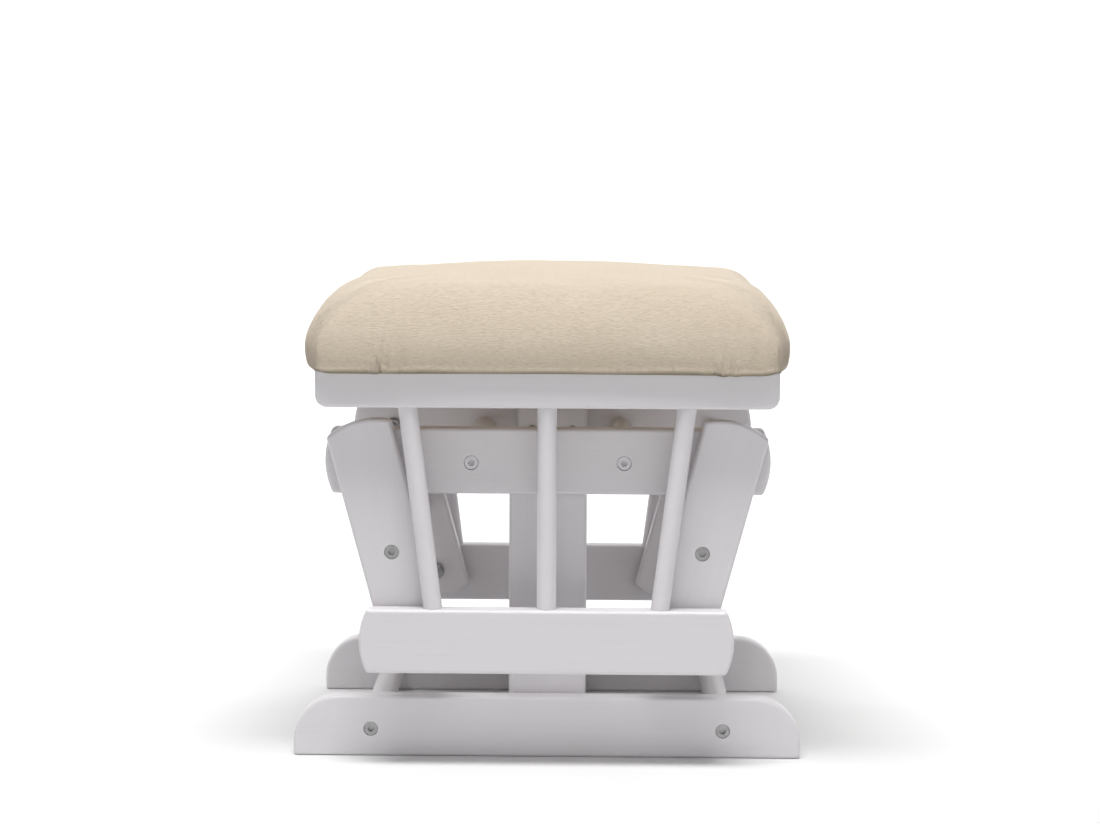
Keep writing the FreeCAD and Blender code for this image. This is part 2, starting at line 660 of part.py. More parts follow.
def flange_nut():
    """Flange nut, its flange at Y = 0."""
    body = new_body("flange_nut_pattern")
    for corners, height in ((hexagon("nut_across_flats"), "nut_height"), (None, "flange_height")):
        sketch = new_sketch(body, "XZ_Plane")
        if corners:
            draw_outline(sketch, corners)
        else:
            draw_circles(sketch, [("0", "0")], "flange_diameter")
        add_feature(body, "Pad", sketch, height, reverse=True)
    bore = new_sketch(body, "XZ_Plane")
    draw_circles(bore, [("0", "0")], "bearing_bore")
    add_feature(body, "Pocket", bore)
    return body


def bolt():
    """Socket head bolt, the top of its head at Y = 0."""
    head = "bolt_head_diameter / 2"
    shank = "bolt_diameter / 2"
    end = "bolt_head_height + bolt_grip"
    body = turned("bolt_pattern", [("0", "0"), (head, "0"), (head, "bolt_head_height"),
                                   (shank, "bolt_head_height"), (shank, end), ("0", end)])
    sketch = new_sketch(body, "XZ_Plane")
    draw_outline(sketch, hexagon("socket_across_flats"))
    add_feature(body, "Pocket", sketch, "socket_depth")
    return body


def screw(label, length):
    """Pan head screw, the underside of its head at Y = 0."""
    head = "screw_head_diameter / 2"
    shank = "screw_diameter / 2"
    return turned(label, [("0", "-screw_head_height"), ("screw_head_flat / 2", "-screw_head_height"),
                          (head, "-screw_head_height / 2"), (head, "0"), (shank, "0"),
                          (shank, f"{length} - screw_tip"), ("0", length)])


def ring(label, inner, outer, length):
    """A plain ring, from Y = 0 inwards."""
    return turned(label, [(inner, "0"), (outer, "0"), (outer, length), (inner, length)])


def base():
    """The fixed base: two upright frames tied by four round bars."""
    for name, side in SIDES:
        floor_rail(name, side)
        post(name, side)
        hanger_board(name, side)
    for name, hand in HANDS:
        stretcher(f"{name}_floor_stretcher", BASE_INNER, f"{hand} * {FLOOR_BAR_SPREAD} / 2", "floor_bar_height")
        stretcher(f"{name}_hanger_stretcher", BASE_INNER, f"{hand} * hanger_bar_spread / 2", HANGER_BAR_HEIGHT)


def swing_arms():
    """Two pairs of swing arms, each pair tied by a round bar."""
    for hand_name, hand in HANDS:
        for name, side in SIDES:
            swing_arm(hand_name, hand, name, side)
        stretcher(f"{hand_name}_arm_stretcher", ARM_INNER, *arm_bar_axis(hand))


def arm_bar_axis(hand):
    """X and Z of an arm pair's stretcher, which lies on the line of its pivots."""
    share = f"arm_bar_reach / {PIVOT_REACH}"
    x = f"({hand} * (upper_pivot_spread / 2 - {ARM_LEAN} * {share}))"
    z = f"(upper_pivot_height - {ARM_DROP} * {share})"
    return x, z


def seat_frame():
    """The moving seat frame with its slats and cushion."""
    for name, side in SIDES:
        top_rail(name, side)
        cleat(name, side)
        lower_rail(name, side)
        for place_name, hand in SPINDLES:
            spindle(name, side, place_name, hand)
    for name, hand in HANDS:
        end_rail(name, hand)
    for number, x in enumerate(SLAT_PLACES, start=1):
        slat(number, x)


def cushion_sections():
    """How far in and how high the cushion's side is, from its hem to its crown."""
    sections = []
    for share in HEM_SHARES:
        inset = f"cushion_hem_reach * (1 - sqrt(1 - {share} ^ 2))"
        sections.append((inset, f"cushion_side_rise * (1 - {share})"))
    for share in SHOULDER_SHARES:
        inset = f"cushion_shoulder_reach * (1 - (1 - {share} ^ {SHOULDER_POWER}) ^ (1 / {SHOULDER_POWER}))"
        sections.append((inset, f"cushion_side_rise + cushion_shoulder_rise * {share}"))
    for share in CROWN_SHARES:
        inset = f"cushion_shoulder_reach + (top_rail_length / 2 - cushion_shoulder_reach) * (1 - {share})"
        shoulder = "cushion_side_rise + cushion_shoulder_rise"
        sections.append((inset, f"{shoulder} + cushion_crown * (1 - {share} ^ 2)"))
    return sections


def cushion():
    """Crowned cushion that rests on the frame and laps its edge."""
    body = new_body("cushion")
    half_x = "(top_rail_length / 2 + cushion_side_overhang)"
    half_y = f"({SEAT_OUTER} + cushion_front_overhang)"
    loft = body.newObject("PartDesign::AdditiveLoft", "cushion_form")
    rings = []
    for inset, height in cushion_sections():
        sketch = new_sketch(body, "XY_Plane", height)
        radius = f"min(cushion_corner + ({inset}); {CORNER_SHARE} * ({half_y} - ({inset})))"
        x = f"({half_x} - ({inset}) - {radius})"
        y = f"({half_y} - ({inset}) - {radius})"
        draw_outline(sketch, *rounded(f"-{x}", x, f"-{y}", y, radius))
        rings.append(sketch)
    loft.Profile = rings[0]
    loft.Sections = rings[1:]
    body.Tip = loft
    lap = new_sketch(body, "XY_Plane")
    x = "(top_rail_length / 2 + cushion_seat_gap)"
    y = f"({SEAT_OUTER} + cushion_seat_gap)"
    draw_outline(lap, rectangle(f"-{x}", x, f"-{y}", y))
    add_feature(body, "Pocket", lap, "cushion_lap + cushion_seat_gap", reverse=True)
    put(body, z=f"{TOP_RAIL_TOP} - cushion_lap")
    keep(body)


def bolted_joints(bolt_pattern, insert_pattern):
    """Bolts through the boards into the inserts of the round bars."""
    floor = pair(FLOOR_BAR_SPREAD, "floor_bar_height")
    hanger = pair("hanger_bar_spread", HANGER_BAR_HEIGHT)
    head = f"({BASE_OUTER} - bolt_recess)"
    group("floor_rail_bolts", bolt_pattern, both_sides(floor, head))
    group("hanger_board_bolts", bolt_pattern, both_sides(hanger, head))
    group("base_threaded_inserts", insert_pattern, both_sides(floor + hanger, BASE_INNER))
    for name, hand in HANDS:
        bar = [arm_bar_axis(hand)]
        group(f"{name}_arm_bolts", bolt_pattern, both_sides(bar, f"({ARM_OUTER} - bolt_recess)"))
        group(f"{name}_arm_threaded_inserts", insert_pattern, both_sides(bar, ARM_INNER))


def both_sides(spots, distance):
    """Places at front and back, each facing inwards."""
    return [(x, f"{side} * {distance}", z, TURNS[side]) for name, side in SIDES for x, z in spots]


def pivots():
    """Ball bearings, studs and nuts of the eight pivots."""
    nut = flange_nut()
    board_stud = stud("upper_stud_pattern", "board_thickness")
    arm_stud = stud("lower_stud_pattern", "arm_thickness")
    inner_radius = "(bearing_bore / 2 + bearing_inner_wall)"
    inner = ring("inner_ring_pattern", "bearing_bore / 2", inner_radius, "bearing_width")
    outer = ring("outer_ring_pattern", f"{inner_radius} + running_fit", "bearing_outside / 2", "bearing_width")
    bearing_end = "(pocket_clearance + bearing_width)"
    upper_tip = f"({ARM_INNER} + {bearing_end})"
    lower_tip = f"({SEAT_INNER} + {bearing_end})"

    upper = pair("upper_pivot_spread", "upper_pivot_height")
    group("upper_pivot_studs", board_stud, both_sides(upper, upper_tip))
    group("upper_pivot_flange_nuts", nut, both_sides(upper, BASE_INNER))
    group("upper_bearing_inner_rings", inner, both_sides(upper, upper_tip))
    for name, hand in HANDS:
        top = [(f"{hand} * upper_pivot_spread / 2", "upper_pivot_height")]
        foot = [(f"{hand} * lower_pivot_spread / 2", "lower_pivot_height")]
        group(f"{name}_upper_bearing_outer_rings", outer, both_sides(top, upper_tip))
        group(f"{name}_lower_pivot_studs", arm_stud, both_sides(foot, lower_tip))
        group(f"{name}_lower_pivot_flange_nuts", nut, both_sides(foot, ARM_INNER))
        group(f"{name}_lower_bearing_inner_rings", inner, both_sides(foot, lower_tip))
        group(f"{name}_lower_bearing_outer_rings", outer, both_sides(foot, lower_tip))


def screws_and_dowels():
    """Wood screws of the posts, cleats and slats, and dowels of the end rails."""
    long_screw = screw("long_screw_pattern", "screw_length")
    short_screw = screw("short_screw_pattern", "slat_screw_length")
    heights = ("floor_rail_height / 2", HANGER_MIDDLE)
    posts = [spot for height in heights for spot in pair("post_screw_spread", height)]
    group("post_screws", long_screw, outward(posts, f"({BASE_INNER} - board_thickness)"))
    cleats = cleat_screw_spots(f"({CLEAT_BOTTOM} + cleat_section / 2)")
    group("cleat_screws", long_screw, outward(cleats, f"({SEAT_INNER} - cleat_section)"))
    row = f"({SEAT_INNER} - cleat_section / 2)"
    slats = [(x, f"{side} * {row}", f"({TOP_RAIL_TOP} - {SLAT_RECESS})", DOWNWARD)
             for name, side in SIDES for x in SLAT_PLACES]
    group("slat_screws", short_screw, slats)

    rim = "dowel_diameter / 2"
    dowel = turned("dowel_pattern", [("0", "-dowel_reach"), (f"{rim} - dowel_chamfer", "-dowel_reach"),
                                     (rim, "dowel_chamfer - dowel_reach"), (rim, "dowel_reach - dowel_chamfer"),
                                     (f"{rim} - dowel_chamfer", "dowel_reach"), ("0", "dowel_reach")])
    joints = [spot for height in DOWEL_HEIGHTS
              for spot in pair(END_RAIL_SPREAD, f"({TOP_RAIL_BOTTOM} + {height})")]
    group("end_rail_dowels", dowel, both_sides(joints, SEAT_INNER))


def outward(spots, distance):
    """Places at front and back, each facing outwards."""
    return [(x, f"{side} * {distance}", z, TURNS[-side]) for name, side in SIDES for x, z in spots]


def check_document():
    """Stop if any object failed or any piece has no sound shape."""
    doc.recompute()
    failed = [item.Label for item in doc.Objects if {"Invalid", "Error"} & set(item.State)]
    failed += [piece.Label for piece in sub_parts if piece.Shape.isNull() or not piece.Shape.isValid()]
    if failed:
        raise RuntimeError("failed objects: " + ", ".join(failed))


def write_parts():
    """Write each piece to a file of its own name."""
    os.makedirs("parts", exist_ok=True)
    for piece in sub_parts:
        piece.Shape.exportStep(f"parts/{piece.Label}.step")


fill_sheet()
base()
swing_arms()
seat_frame()
cushion()
threaded_insert = ring("insert_pattern", "bolt_diameter / 2 + seat_fit", "insert_diameter / 2", "insert_length")
bolted_joints(bolt(), threaded_insert)
pivots()
screws_and_dowels()
check_document()
write_parts()
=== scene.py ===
"""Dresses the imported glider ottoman: paint, bare wood, steel, a padded cushion and a studio."""

import json
import math

import bmesh
import bpy
import numpy as np
from bpy.props import FloatProperty, FloatVectorProperty, IntProperty, PointerProperty
from mathutils import Matrix, Vector, noise


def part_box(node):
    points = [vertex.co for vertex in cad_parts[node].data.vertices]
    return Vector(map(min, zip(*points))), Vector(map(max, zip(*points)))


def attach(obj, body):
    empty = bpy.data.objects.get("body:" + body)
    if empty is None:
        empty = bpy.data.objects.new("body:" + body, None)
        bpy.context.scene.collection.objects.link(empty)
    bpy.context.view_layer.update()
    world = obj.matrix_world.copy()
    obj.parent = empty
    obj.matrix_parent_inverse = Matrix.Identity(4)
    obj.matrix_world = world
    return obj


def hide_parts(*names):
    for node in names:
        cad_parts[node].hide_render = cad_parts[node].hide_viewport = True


bl_info = {
    "name": "Glider Ottoman",
    "version": (1, 0, 0),
    "blender": (4, 5, 0),
    "location": "3D View > Sidebar > Ottoman",
    "description": "Paints, pads and lights a glider ottoman that rides on its packed frame",
    "category": "Object",
}

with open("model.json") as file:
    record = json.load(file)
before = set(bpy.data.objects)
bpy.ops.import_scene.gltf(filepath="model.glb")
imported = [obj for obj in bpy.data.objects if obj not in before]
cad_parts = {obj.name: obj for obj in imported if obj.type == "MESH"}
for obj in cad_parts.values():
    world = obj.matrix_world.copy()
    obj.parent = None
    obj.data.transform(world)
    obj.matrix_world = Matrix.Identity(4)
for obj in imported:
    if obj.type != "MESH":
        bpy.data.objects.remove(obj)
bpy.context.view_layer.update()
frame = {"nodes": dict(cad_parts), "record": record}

MM = 0.001
X_AXIS = Vector((1, 0, 0))
Y_AXIS = Vector((0, 1, 0))
Z_AXIS = Vector((0, 0, 1))
AXES = (X_AXIS, Y_AXIS, Z_AXIS)
HANDS = {"left": -1, "right": 1}
TINY = 1e-9

# Scale of each pattern, per metre, first along the grain where there is one. The cloth's clouds
# have a length and a width instead.
PAINT_FIBRES = (9, 420, 420)
PAINT_STROKES = (3, 90, 90)
PAINT_PATCHES = (14, 26, 26)
WOOD_FIBRES = (14, 700, 700)
WOOD_RINGS = (2, 60, 45)
WOOD_SWAY = (4, 16, 16)
STEEL_CLOUDS = (220, 220, 220)
STEEL_GRIT = (2400, 2400, 2400)
RECESS_SHADE_MOTTLE = (900, 900, 900)
THREAD_TWIST = (1800, 1800, 1800)
PAPER_PULP = (3, 3, 3)
CLOTH_CLOUDS = (70 * MM, 50 * MM)

# Scale at which a banded wave pattern repeats once in each unit.
ONE_WAVE = 2 * math.pi / 20

# Height of each bump.
WOOD_RELIEF = 0.06 * MM
STEEL_RELIEF = 0.008 * MM
THREAD_RELIEF = 0.35 * MM
WEAVE_RELIEF = 0.12 * MM
SLUB_RELIEF = 0.9 * MM
STREAK_RELIEF = 0.15 * MM
TWIST_RELIEF = 0.05 * MM

ZINC_ROUGHNESS = 0.34
GROUND_ROUGHNESS = 0.16
STEEL_ROUGHNESS_SPREAD = 0.12
PAINT_ROUGHNESS_SPREAD = 0.07

# Wood screws: how near points count as one, how flat a head's rim is, and its fewest points.
MERGE_GAP = 0.001 * MM
FLAT_GAP = 0.01 * MM
FEWEST_RIM_POINTS = 5
RECESS_LIFT = 0.1 * MM

COVER_MAP = "cover"
HEM_SHADE_MARK = "turned_hem"

# The cushion's form, from its underside over its sides to its crown.
OUTLINE_STEPS = 264
REST_GAP = 0.4 * MM
UNDERSIDE_INSETS = (60 * MM, 20 * MM)
HEM_SHARES = (1.0, 0.85, 0.6, 0.3)
SHOULDER_SHARES = (0.0, 0.15, 0.3, 0.45, 0.6, 0.72, 0.82, 0.9, 0.96)
SHOULDER_POWER = 1.6
CROWN_SHARES = (1.0, 0.85, 0.65, 0.45, 0.25, 0.1)
CORNER_GROWTH = 1.5
CORNER_SHARE = 0.85

# The cover as cloth. A crease is what a few rounds of evening keep and many rounds take out.
CLOTH = {
    "quality": 6,
    "mass": 0.3,
    "tension_stiffness": 12,
    "compression_stiffness": 12,
    "shear_stiffness": 4,
    "bending_stiffness": 8,
}
HELD_BAND = 2 * MM
FINE_ROUNDS = 3
CREASE_ROUNDS = 60
SMOOTH_ROUNDS = 5

# The hem, which is drawn down, rolled in and painted darker as shade within these heights above its
# edge.
LAP_BAND = 18 * MM
ROLL_BAND = 7 * MM
HEM_ROLL = 5 * MM
HEM_SHADE_BAND = 3.8 * MM
HEM_SHADE_START = 1.35
HEM_SHADE_LIMIT = 0.85

# Soft waves in the stuffing, which fade out towards the hem, and waves along the hem in a band
# with a middle and a width.
RIPPLE_HEIGHT = 0.5 * MM
RIPPLE_BAND = 12 * MM
BROAD_WAVES = 14
FINE_WAVES = 31
HEM_WAVES = 11
HEM_WAVE_HEIGHT = 1.6 * MM
HEM_WAVE_BAND = (3 * MM, 7 * MM)

# Gathered tucks: their reach, a groove between two ridges, and the drop below the hem. Each tuck
# has three pleats, with their offsets in millimetres, strengths and leans.
TUCK_HEIGHT = 28 * MM
TUCK_WIDTH = 30 * MM
TUCK_WANDER = 14 * MM
TUCK_WANDER_TURN = 0.39
GROOVE_WIDTH = 3.6 * MM
RIDGE_OFFSET = 7 * MM
RIDGE_WIDTH = 4 * MM
RIDGE_SHARE = 0.9
DROP_WIDTH = 5.5 * MM
DROP_BAND = (1 * MM, 6 * MM)
PLEATS = ((0, 1.0, 0.10), (19, 0.55, -0.16), (-14, 0.4, 0.22))

SENSOR_WIDTH = 36.0
BACKDROP_STEPS = 96
BACKDROP_FLAT = 5.0
BACKDROP_BEND = 2.0
BACKDROP_HEIGHT = 4.5
BEND_STEPS = 12
AIM = (0.0, 0.0, 0.25)

# Place, aim and size of each lamp, and the setting that holds its power.
LAMPS = {
    "key_panel": ((-0.1, -0.71, 2.6), AIM, (1.6, 0.6), "key_power"),
    "fill_panel": ((0.5, -3.2, 0.9), AIM, (2.4, 1.4), "fill_power"),
    "wash_panel": ((0.0, 1.6, 3.6), (0.0, 6.5, 0.8), (7.0, 1.2), "wash_power"),
}


def colour_property(name, default, description):
    """A colour that the user can pick."""
    return FloatVectorProperty(name=name, description=description, default=default,
                               subtype="COLOR", size=3, min=0.0, max=1.0)


def length_property(name, default, description):
    """A length in metres."""
    return FloatProperty(name=name, description=description, default=default,
                         unit="LENGTH", min=0.0, precision=4)


class PaintSettings(bpy.types.PropertyGroup):
    """The paint on the boards and bars."""
    colour: colour_property("Paint", (0.70, 0.68, 0.702), "Satin paint of the boards and bars")
    shade: colour_property("Thin paint", (0.675, 0.656, 0.677),
                           "Paint where the brush left it thin")
    relief: length_property("Grain relief", 0.02 * MM,
                            "How far the wood grain shows through the paint")
    gloss: FloatProperty(name="Roughness", description="Mean roughness of the paint",
                         default=0.42, min=0.0, max=1.0, subtype="FACTOR")


class WoodSettings(bpy.types.PropertyGroup):
    """The bare wood of the slats, cleats and dowels."""
    light: colour_property("Early wood", (0.66, 0.53, 0.38), "Pale part of the grain")
    dark: colour_property("Late wood", (0.52, 0.385, 0.25), "Dark part of the grain")


class SteelSettings(bpy.types.PropertyGroup):
    """Fasteners and bearings."""
    zinc: colour_property("Zinc", (0.40, 0.395, 0.40),
                          "Zinc plating of bolts, nuts, studs and screws")
    bearing: colour_property("Bearing steel", (0.66, 0.67, 0.68),
                             "Ground steel of the bearing rings")
    thread_pitch: length_property("Thread pitch", 1.25 * MM, "Pitch of the pivot studs' threads")
    recess_width: length_property("Recess", 4.2 * MM,
                                  "Width of the cross recess in the wood screws")
    recess_arm: length_property("Recess arm", 0.9 * MM, "Width of each arm of the cross recess")


class CushionSettings(bpy.types.PropertyGroup):
    """Shape and cover of the cushion."""
    voxel: length_property("Cloth spacing", 4.6 * MM, "Size of the simulated mesh's faces")
    cap: length_property("Movement cap", 9 * MM, "How far the cloth may move a point")
    crease: FloatProperty(name="Creases", default=0.15, min=0.0,
                          description="Share of the cloth's small creases that is kept")
    pressure: FloatProperty(name="Pressure", description="Pressure of the stuffing",
                            default=4.0, min=0.0)
    frames: IntProperty(name="Frames", description="Simulated frames", default=20, min=2)
    waist: length_property("Waist", 2.5 * MM, "How far the sides pull in between the corners")
    hem_reach: length_property("Hem reach", 8 * MM, "How far the side rolls in at the hem")
    side_rise: length_property("Side rise", 23.7 * MM, "From the hem to the widest line")
    shoulder_rise: length_property("Shoulder rise", 51 * MM,
                                   "From the widest line to the shoulder's top")
    shoulder_reach: length_property("Shoulder reach", 38 * MM, "How far the shoulder rolls in")
    sag: length_property("Sag", 2 * MM, "How far the crown sinks below the top of its place")
    corner: length_property("Corner", 17 * MM, "Radius of the upright corners at the widest line")
    bulge: length_property("Bulge", 4 * MM,
                           "How far the front and back stand out past the solid cushion")
    tuck_inset: length_property("Tuck inset", 64 * MM,
                                "From the cushion's ends to its gathered tucks")
    tuck_depth: length_property("Tuck depth", 1.8 * MM, "Depth of the gathered tucks at the hem")
    tuck_drop: length_property("Tuck drop", 2.6 * MM, "How far a tuck hangs below the hem")
    cloth: colour_property("Cloth", (0.665, 0.569, 0.452), "Woven cover")
    slub: colour_property("Slubs", (0.75, 0.665, 0.56), "Thick pale threads in the weave")
    groove: colour_property("Grooves", (0.43, 0.35, 0.255), "Shade between the threads")
    # The hem colour is painted shade, blended into the bottom of the sides where the rolled cover
    # faces down.
    hem: colour_property("Hem", (0.25, 0.21, 0.135),
                         "Turned edge of the cover, under the cushion")
    slub_length: length_property("Slub length", 5 * MM, "Length of a thick thread")
    slub_height: length_property("Slub height", 0.9 * MM, "Height of a thick thread")
    thread: length_property("Thread", 0.75 * MM, "Spacing of the weave's threads")


class SeamSettings(bpy.types.PropertyGroup):
    """The sewn hem under the cushion."""
    inset: length_property("Hem inset", 34 * MM, "From the cushion's edge to the hem's stitches")
    pitch: length_property("Stitch pitch", 4.5 * MM, "From one stitch to the next")
    length: length_property("Stitch length", 3.4 * MM, "Length of a stitch")
    radius: length_property("Thread radius", 0.25 * MM, "Radius of the sewing thread")


class StageSettings(bpy.types.PropertyGroup):
    """Camera, lights and floor."""
    camera_place: FloatVectorProperty(name="Camera", description="Place of the camera", size=3,
                                      default=(0.0355, -2.296, 0.518), subtype="TRANSLATION")
    pitch: FloatProperty(name="Pitch", description="How far the camera looks down",
                         default=math.radians(5.89), subtype="ANGLE")
    turn: FloatProperty(name="Turn", description="How far the camera is turned to its left",
                        default=math.radians(0.898), subtype="ANGLE")
    roll: FloatProperty(name="Roll", description="How far the camera is rolled",
                        default=math.radians(0.25), subtype="ANGLE")
    lens: FloatProperty(name="Lens", description="Focal length in mm", default=84.17, min=1.0)
    floor: colour_property("Floor", (0.81, 0.81, 0.81), "Floor and backdrop")
    key_power: FloatProperty(name="Key light", description="Power in watts",
                             default=64.0, min=0.0)
    fill_power: FloatProperty(name="Fill light", description="Power in watts",
                              default=9.0, min=0.0)
    wash_power: FloatProperty(name="Wash", description="Power on the backdrop in watts",
                              default=360.0, min=0.0)
    sky: FloatProperty(name="Sky", description="Strength of the surrounding light",
                       default=0.3, min=0.0)


SETTINGS = {
    "ottoman_paint": PaintSettings,
    "ottoman_wood": WoodSettings,
    "ottoman_steel": SteelSettings,
    "ottoman_cushion": CushionSettings,
    "ottoman_seam": SeamSettings,
    "ottoman_stage": StageSettings,
}


def add_node(tree, kind, inputs=None, **settings):
    """Add a node. An input is given a value, or the output that feeds it."""
    node = tree.nodes.new(kind)
    for name, value in settings.items():
        setattr(node, name, value)
    for name, value in (inputs or {}).items():
        socket = node.inputs[name]
        if isinstance(value, bpy.types.NodeSocket):
            tree.links.new(value, socket)
        else:
            socket.default_value = value
    return node


def new_material(name):
    """A material with a principled shader and its output."""
    material = bpy.data.materials.new(name)
    material.use_nodes = True
    tree = material.node_tree
    tree.nodes.clear()
    shader = add_node(tree, "ShaderNodeBsdfPrincipled")
    add_node(tree, "ShaderNodeOutputMaterial", {"Surface": shader.outputs["BSDF"]})
    return material, tree, shader


def object_place(tree, scale=(1, 1, 1), turn=(0, 0, 0)):
    """Object coordinates, turned and then scaled."""
    where = add_node(tree, "ShaderNodeTexCoord").outputs["Object"]
    turned = add_node(tree, "ShaderNodeMapping", {"Vector": where, "Rotation": turn})
    scaled = add_node(tree, "ShaderNodeMapping",
                      {"Vector": turned.outputs["Vector"], "Scale": scale})
    return scaled.outputs["Vector"]


def noise_value(tree, place, scale=1.0, detail=3.0, roughness=0.5):
    """A noise pattern between 0 and 1."""
    inputs = {"Vector": place, "Scale": scale, "Detail": detail, "Roughness": roughness}
    return add_node(tree, "ShaderNodeTexNoise", inputs).outputs["Fac"]


def remap(tree, value, low, high, new_low=0.0, new_high=1.0):
    """Stretch a range of values to another, clamped."""
    inputs = {"Value": value, "From Min": low, "From Max": high,
              "To Min": new_low, "To Max": new_high}
    return add_node(tree, "ShaderNodeMapRange", inputs).outputs["Result"]


def calculate(tree, operation, first, second):
    """Join two values with an arithmetic operation."""
    node = add_node(tree, "ShaderNodeMath", operation=operation)
    for socket, value in zip(node.inputs, (first, second)):
        if isinstance(value, bpy.types.NodeSocket):
            tree.links.new(value, socket)
        else:
            socket.default_value = value
    return node.outputs["Value"]


def blend_colours(tree, share, first, second):
    """Mix two colours, each a value or an output."""
    node = add_node(tree, "ShaderNodeMix", data_type="RGBA")
    sockets = (node.inputs[0], node.inputs[6], node.inputs[7])
    for socket, value in zip(sockets, (share, first, second)):
        if isinstance(value, bpy.types.NodeSocket):
            tree.links.new(value, socket)
        elif socket.type == "RGBA":
            socket.default_value = (*value, 1.0)
        else:
            socket.default_value = value
    return node.outputs[2]


def raise_surface(tree, shader, height, distance, before=None):
    """Bump the shader's surface by a height between 0 and 1 times a distance."""
    inputs = {"Height": height, "Distance": distance, "Strength": 1.0}
    if before:
        inputs["Normal"] = before
    normal = add_node(tree, "ShaderNodeBump", inputs).outputs["Normal"]
    tree.links.new(normal, shader.inputs["Normal"])
    return normal


def shaded(colour, share):
    """A darker shade of a colour."""
    return tuple(share * part for part in colour)


def grain_turn(direction):
    """Rotation that brings a piece's grain, in the XZ plane or along Y, onto X."""
    if abs(direction.y) > 0.9:
        return (0, 0, -math.pi / 2)
    lean = math.atan2(direction.x, direction.z)
    return (0, math.pi / 2 - lean, 0)


def painted_wood(name, direction, settings):
    """Satin paint, brushed along the grain, that lets some of the grain through."""
    material, tree, shader = new_material(name)
    turn = grain_turn(direction)
    fibres = noise_value(tree, object_place(tree, PAINT_FIBRES, turn), detail=4.0)
    strokes = noise_value(tree, object_place(tree, PAINT_STROKES, turn), detail=2.0)
    patches = noise_value(tree, object_place(tree, PAINT_PATCHES, turn), detail=2.0)
    thin = calculate(tree, "MULTIPLY", remap(tree, fibres, 0.42, 0.68),
                     remap(tree, patches, 0.35, 0.75))
    colour = blend_colours(tree, thin, settings.colour, settings.shade)
    tree.links.new(colour, shader.inputs["Base Color"])
    rough = remap(tree, strokes, 0.3, 0.7, settings.gloss - PAINT_ROUGHNESS_SPREAD,
                  settings.gloss + PAINT_ROUGHNESS_SPREAD)
    tree.links.new(rough, shader.inputs["Roughness"])
    shader.inputs["Coat Weight"].default_value = 0.12
    shader.inputs["Coat Roughness"].default_value = 0.25
    normal = raise_surface(tree, shader, fibres, settings.relief)
    raise_surface(tree, shader, strokes, 2 * settings.relief, normal)
    return material


def bare_wood(name, direction, settings):
    """Planed wood with growth rings along the piece."""
    material, tree, shader = new_material(name)
    turn = grain_turn(direction)
    sway = noise_value(tree, object_place(tree, WOOD_SWAY, turn), detail=2.0)
    rings = add_node(tree, "ShaderNodeTexWave", {
        "Vector": object_place(tree, WOOD_RINGS, turn), "Scale": 1.0, "Distortion": 5.0,
        "Detail": 2.0, "Detail Scale": 0.6}, wave_type="BANDS", bands_direction="Y").outputs["Fac"]
    fibres = noise_value(tree, object_place(tree, WOOD_FIBRES, turn), detail=4.0)
    share = calculate(tree, "MULTIPLY", rings, remap(tree, sway, 0.3, 0.7, 0.45, 1.0))
    grain = blend_colours(tree, share, settings.light, settings.dark)
    late = remap(tree, fibres, 0.45, 0.75, 0.0, 0.35)
    colour = blend_colours(tree, late, grain, settings.dark)
    tree.links.new(colour, shader.inputs["Base Color"])
    tree.links.new(remap(tree, fibres, 0.3, 0.7, 0.55, 0.7), shader.inputs["Roughness"])
    raise_surface(tree, shader, fibres, WOOD_RELIEF)
    return material


def cloudy_steel(name, roughness):
    """Steel that is duller in patches, and those patches."""
    material, tree, shader = new_material(name)
    clouds = noise_value(tree, object_place(tree, STEEL_CLOUDS), detail=3.0)
    rough = remap(tree, clouds, 0.3, 0.7, roughness, roughness + STEEL_ROUGHNESS_SPREAD)
    tree.links.new(rough, shader.inputs["Roughness"])
    shader.inputs["Metallic"].default_value = 1.0
    return material, tree, shader, clouds


def plated_steel(name, colour, roughness):
    """Plated steel with fine tumbling marks."""
    material, tree, shader, clouds = cloudy_steel(name, roughness)
    grit = noise_value(tree, object_place(tree, STEEL_GRIT), detail=2.0)
    dull = remap(tree, clouds, 0.35, 0.7)
    plating = blend_colours(tree, dull, colour, shaded(colour, 0.82))
    tree.links.new(plating, shader.inputs["Base Color"])
    raise_surface(tree, shader, grit, STEEL_RELIEF)
    return material


def threaded_steel(name, colour, roughness, pitch):
    """Plated steel with a thread's ridges along Y, and painted shade that darkens the grooves
    between them.
    """
    material, tree, shader, _ = cloudy_steel(name, roughness)
    turns = add_node(tree, "ShaderNodeTexWave", {
        "Vector": object_place(tree), "Scale": ONE_WAVE / pitch},
        wave_type="BANDS", bands_direction="Y").outputs["Fac"]
    # The thread's grooves are painted darker, as shade, where the bump sinks.
    ridges = blend_colours(tree, turns, shaded(colour, 0.6), colour)
    tree.links.new(ridges, shader.inputs["Base Color"])
    raise_surface(tree, shader, turns, THREAD_RELIEF)
    return material


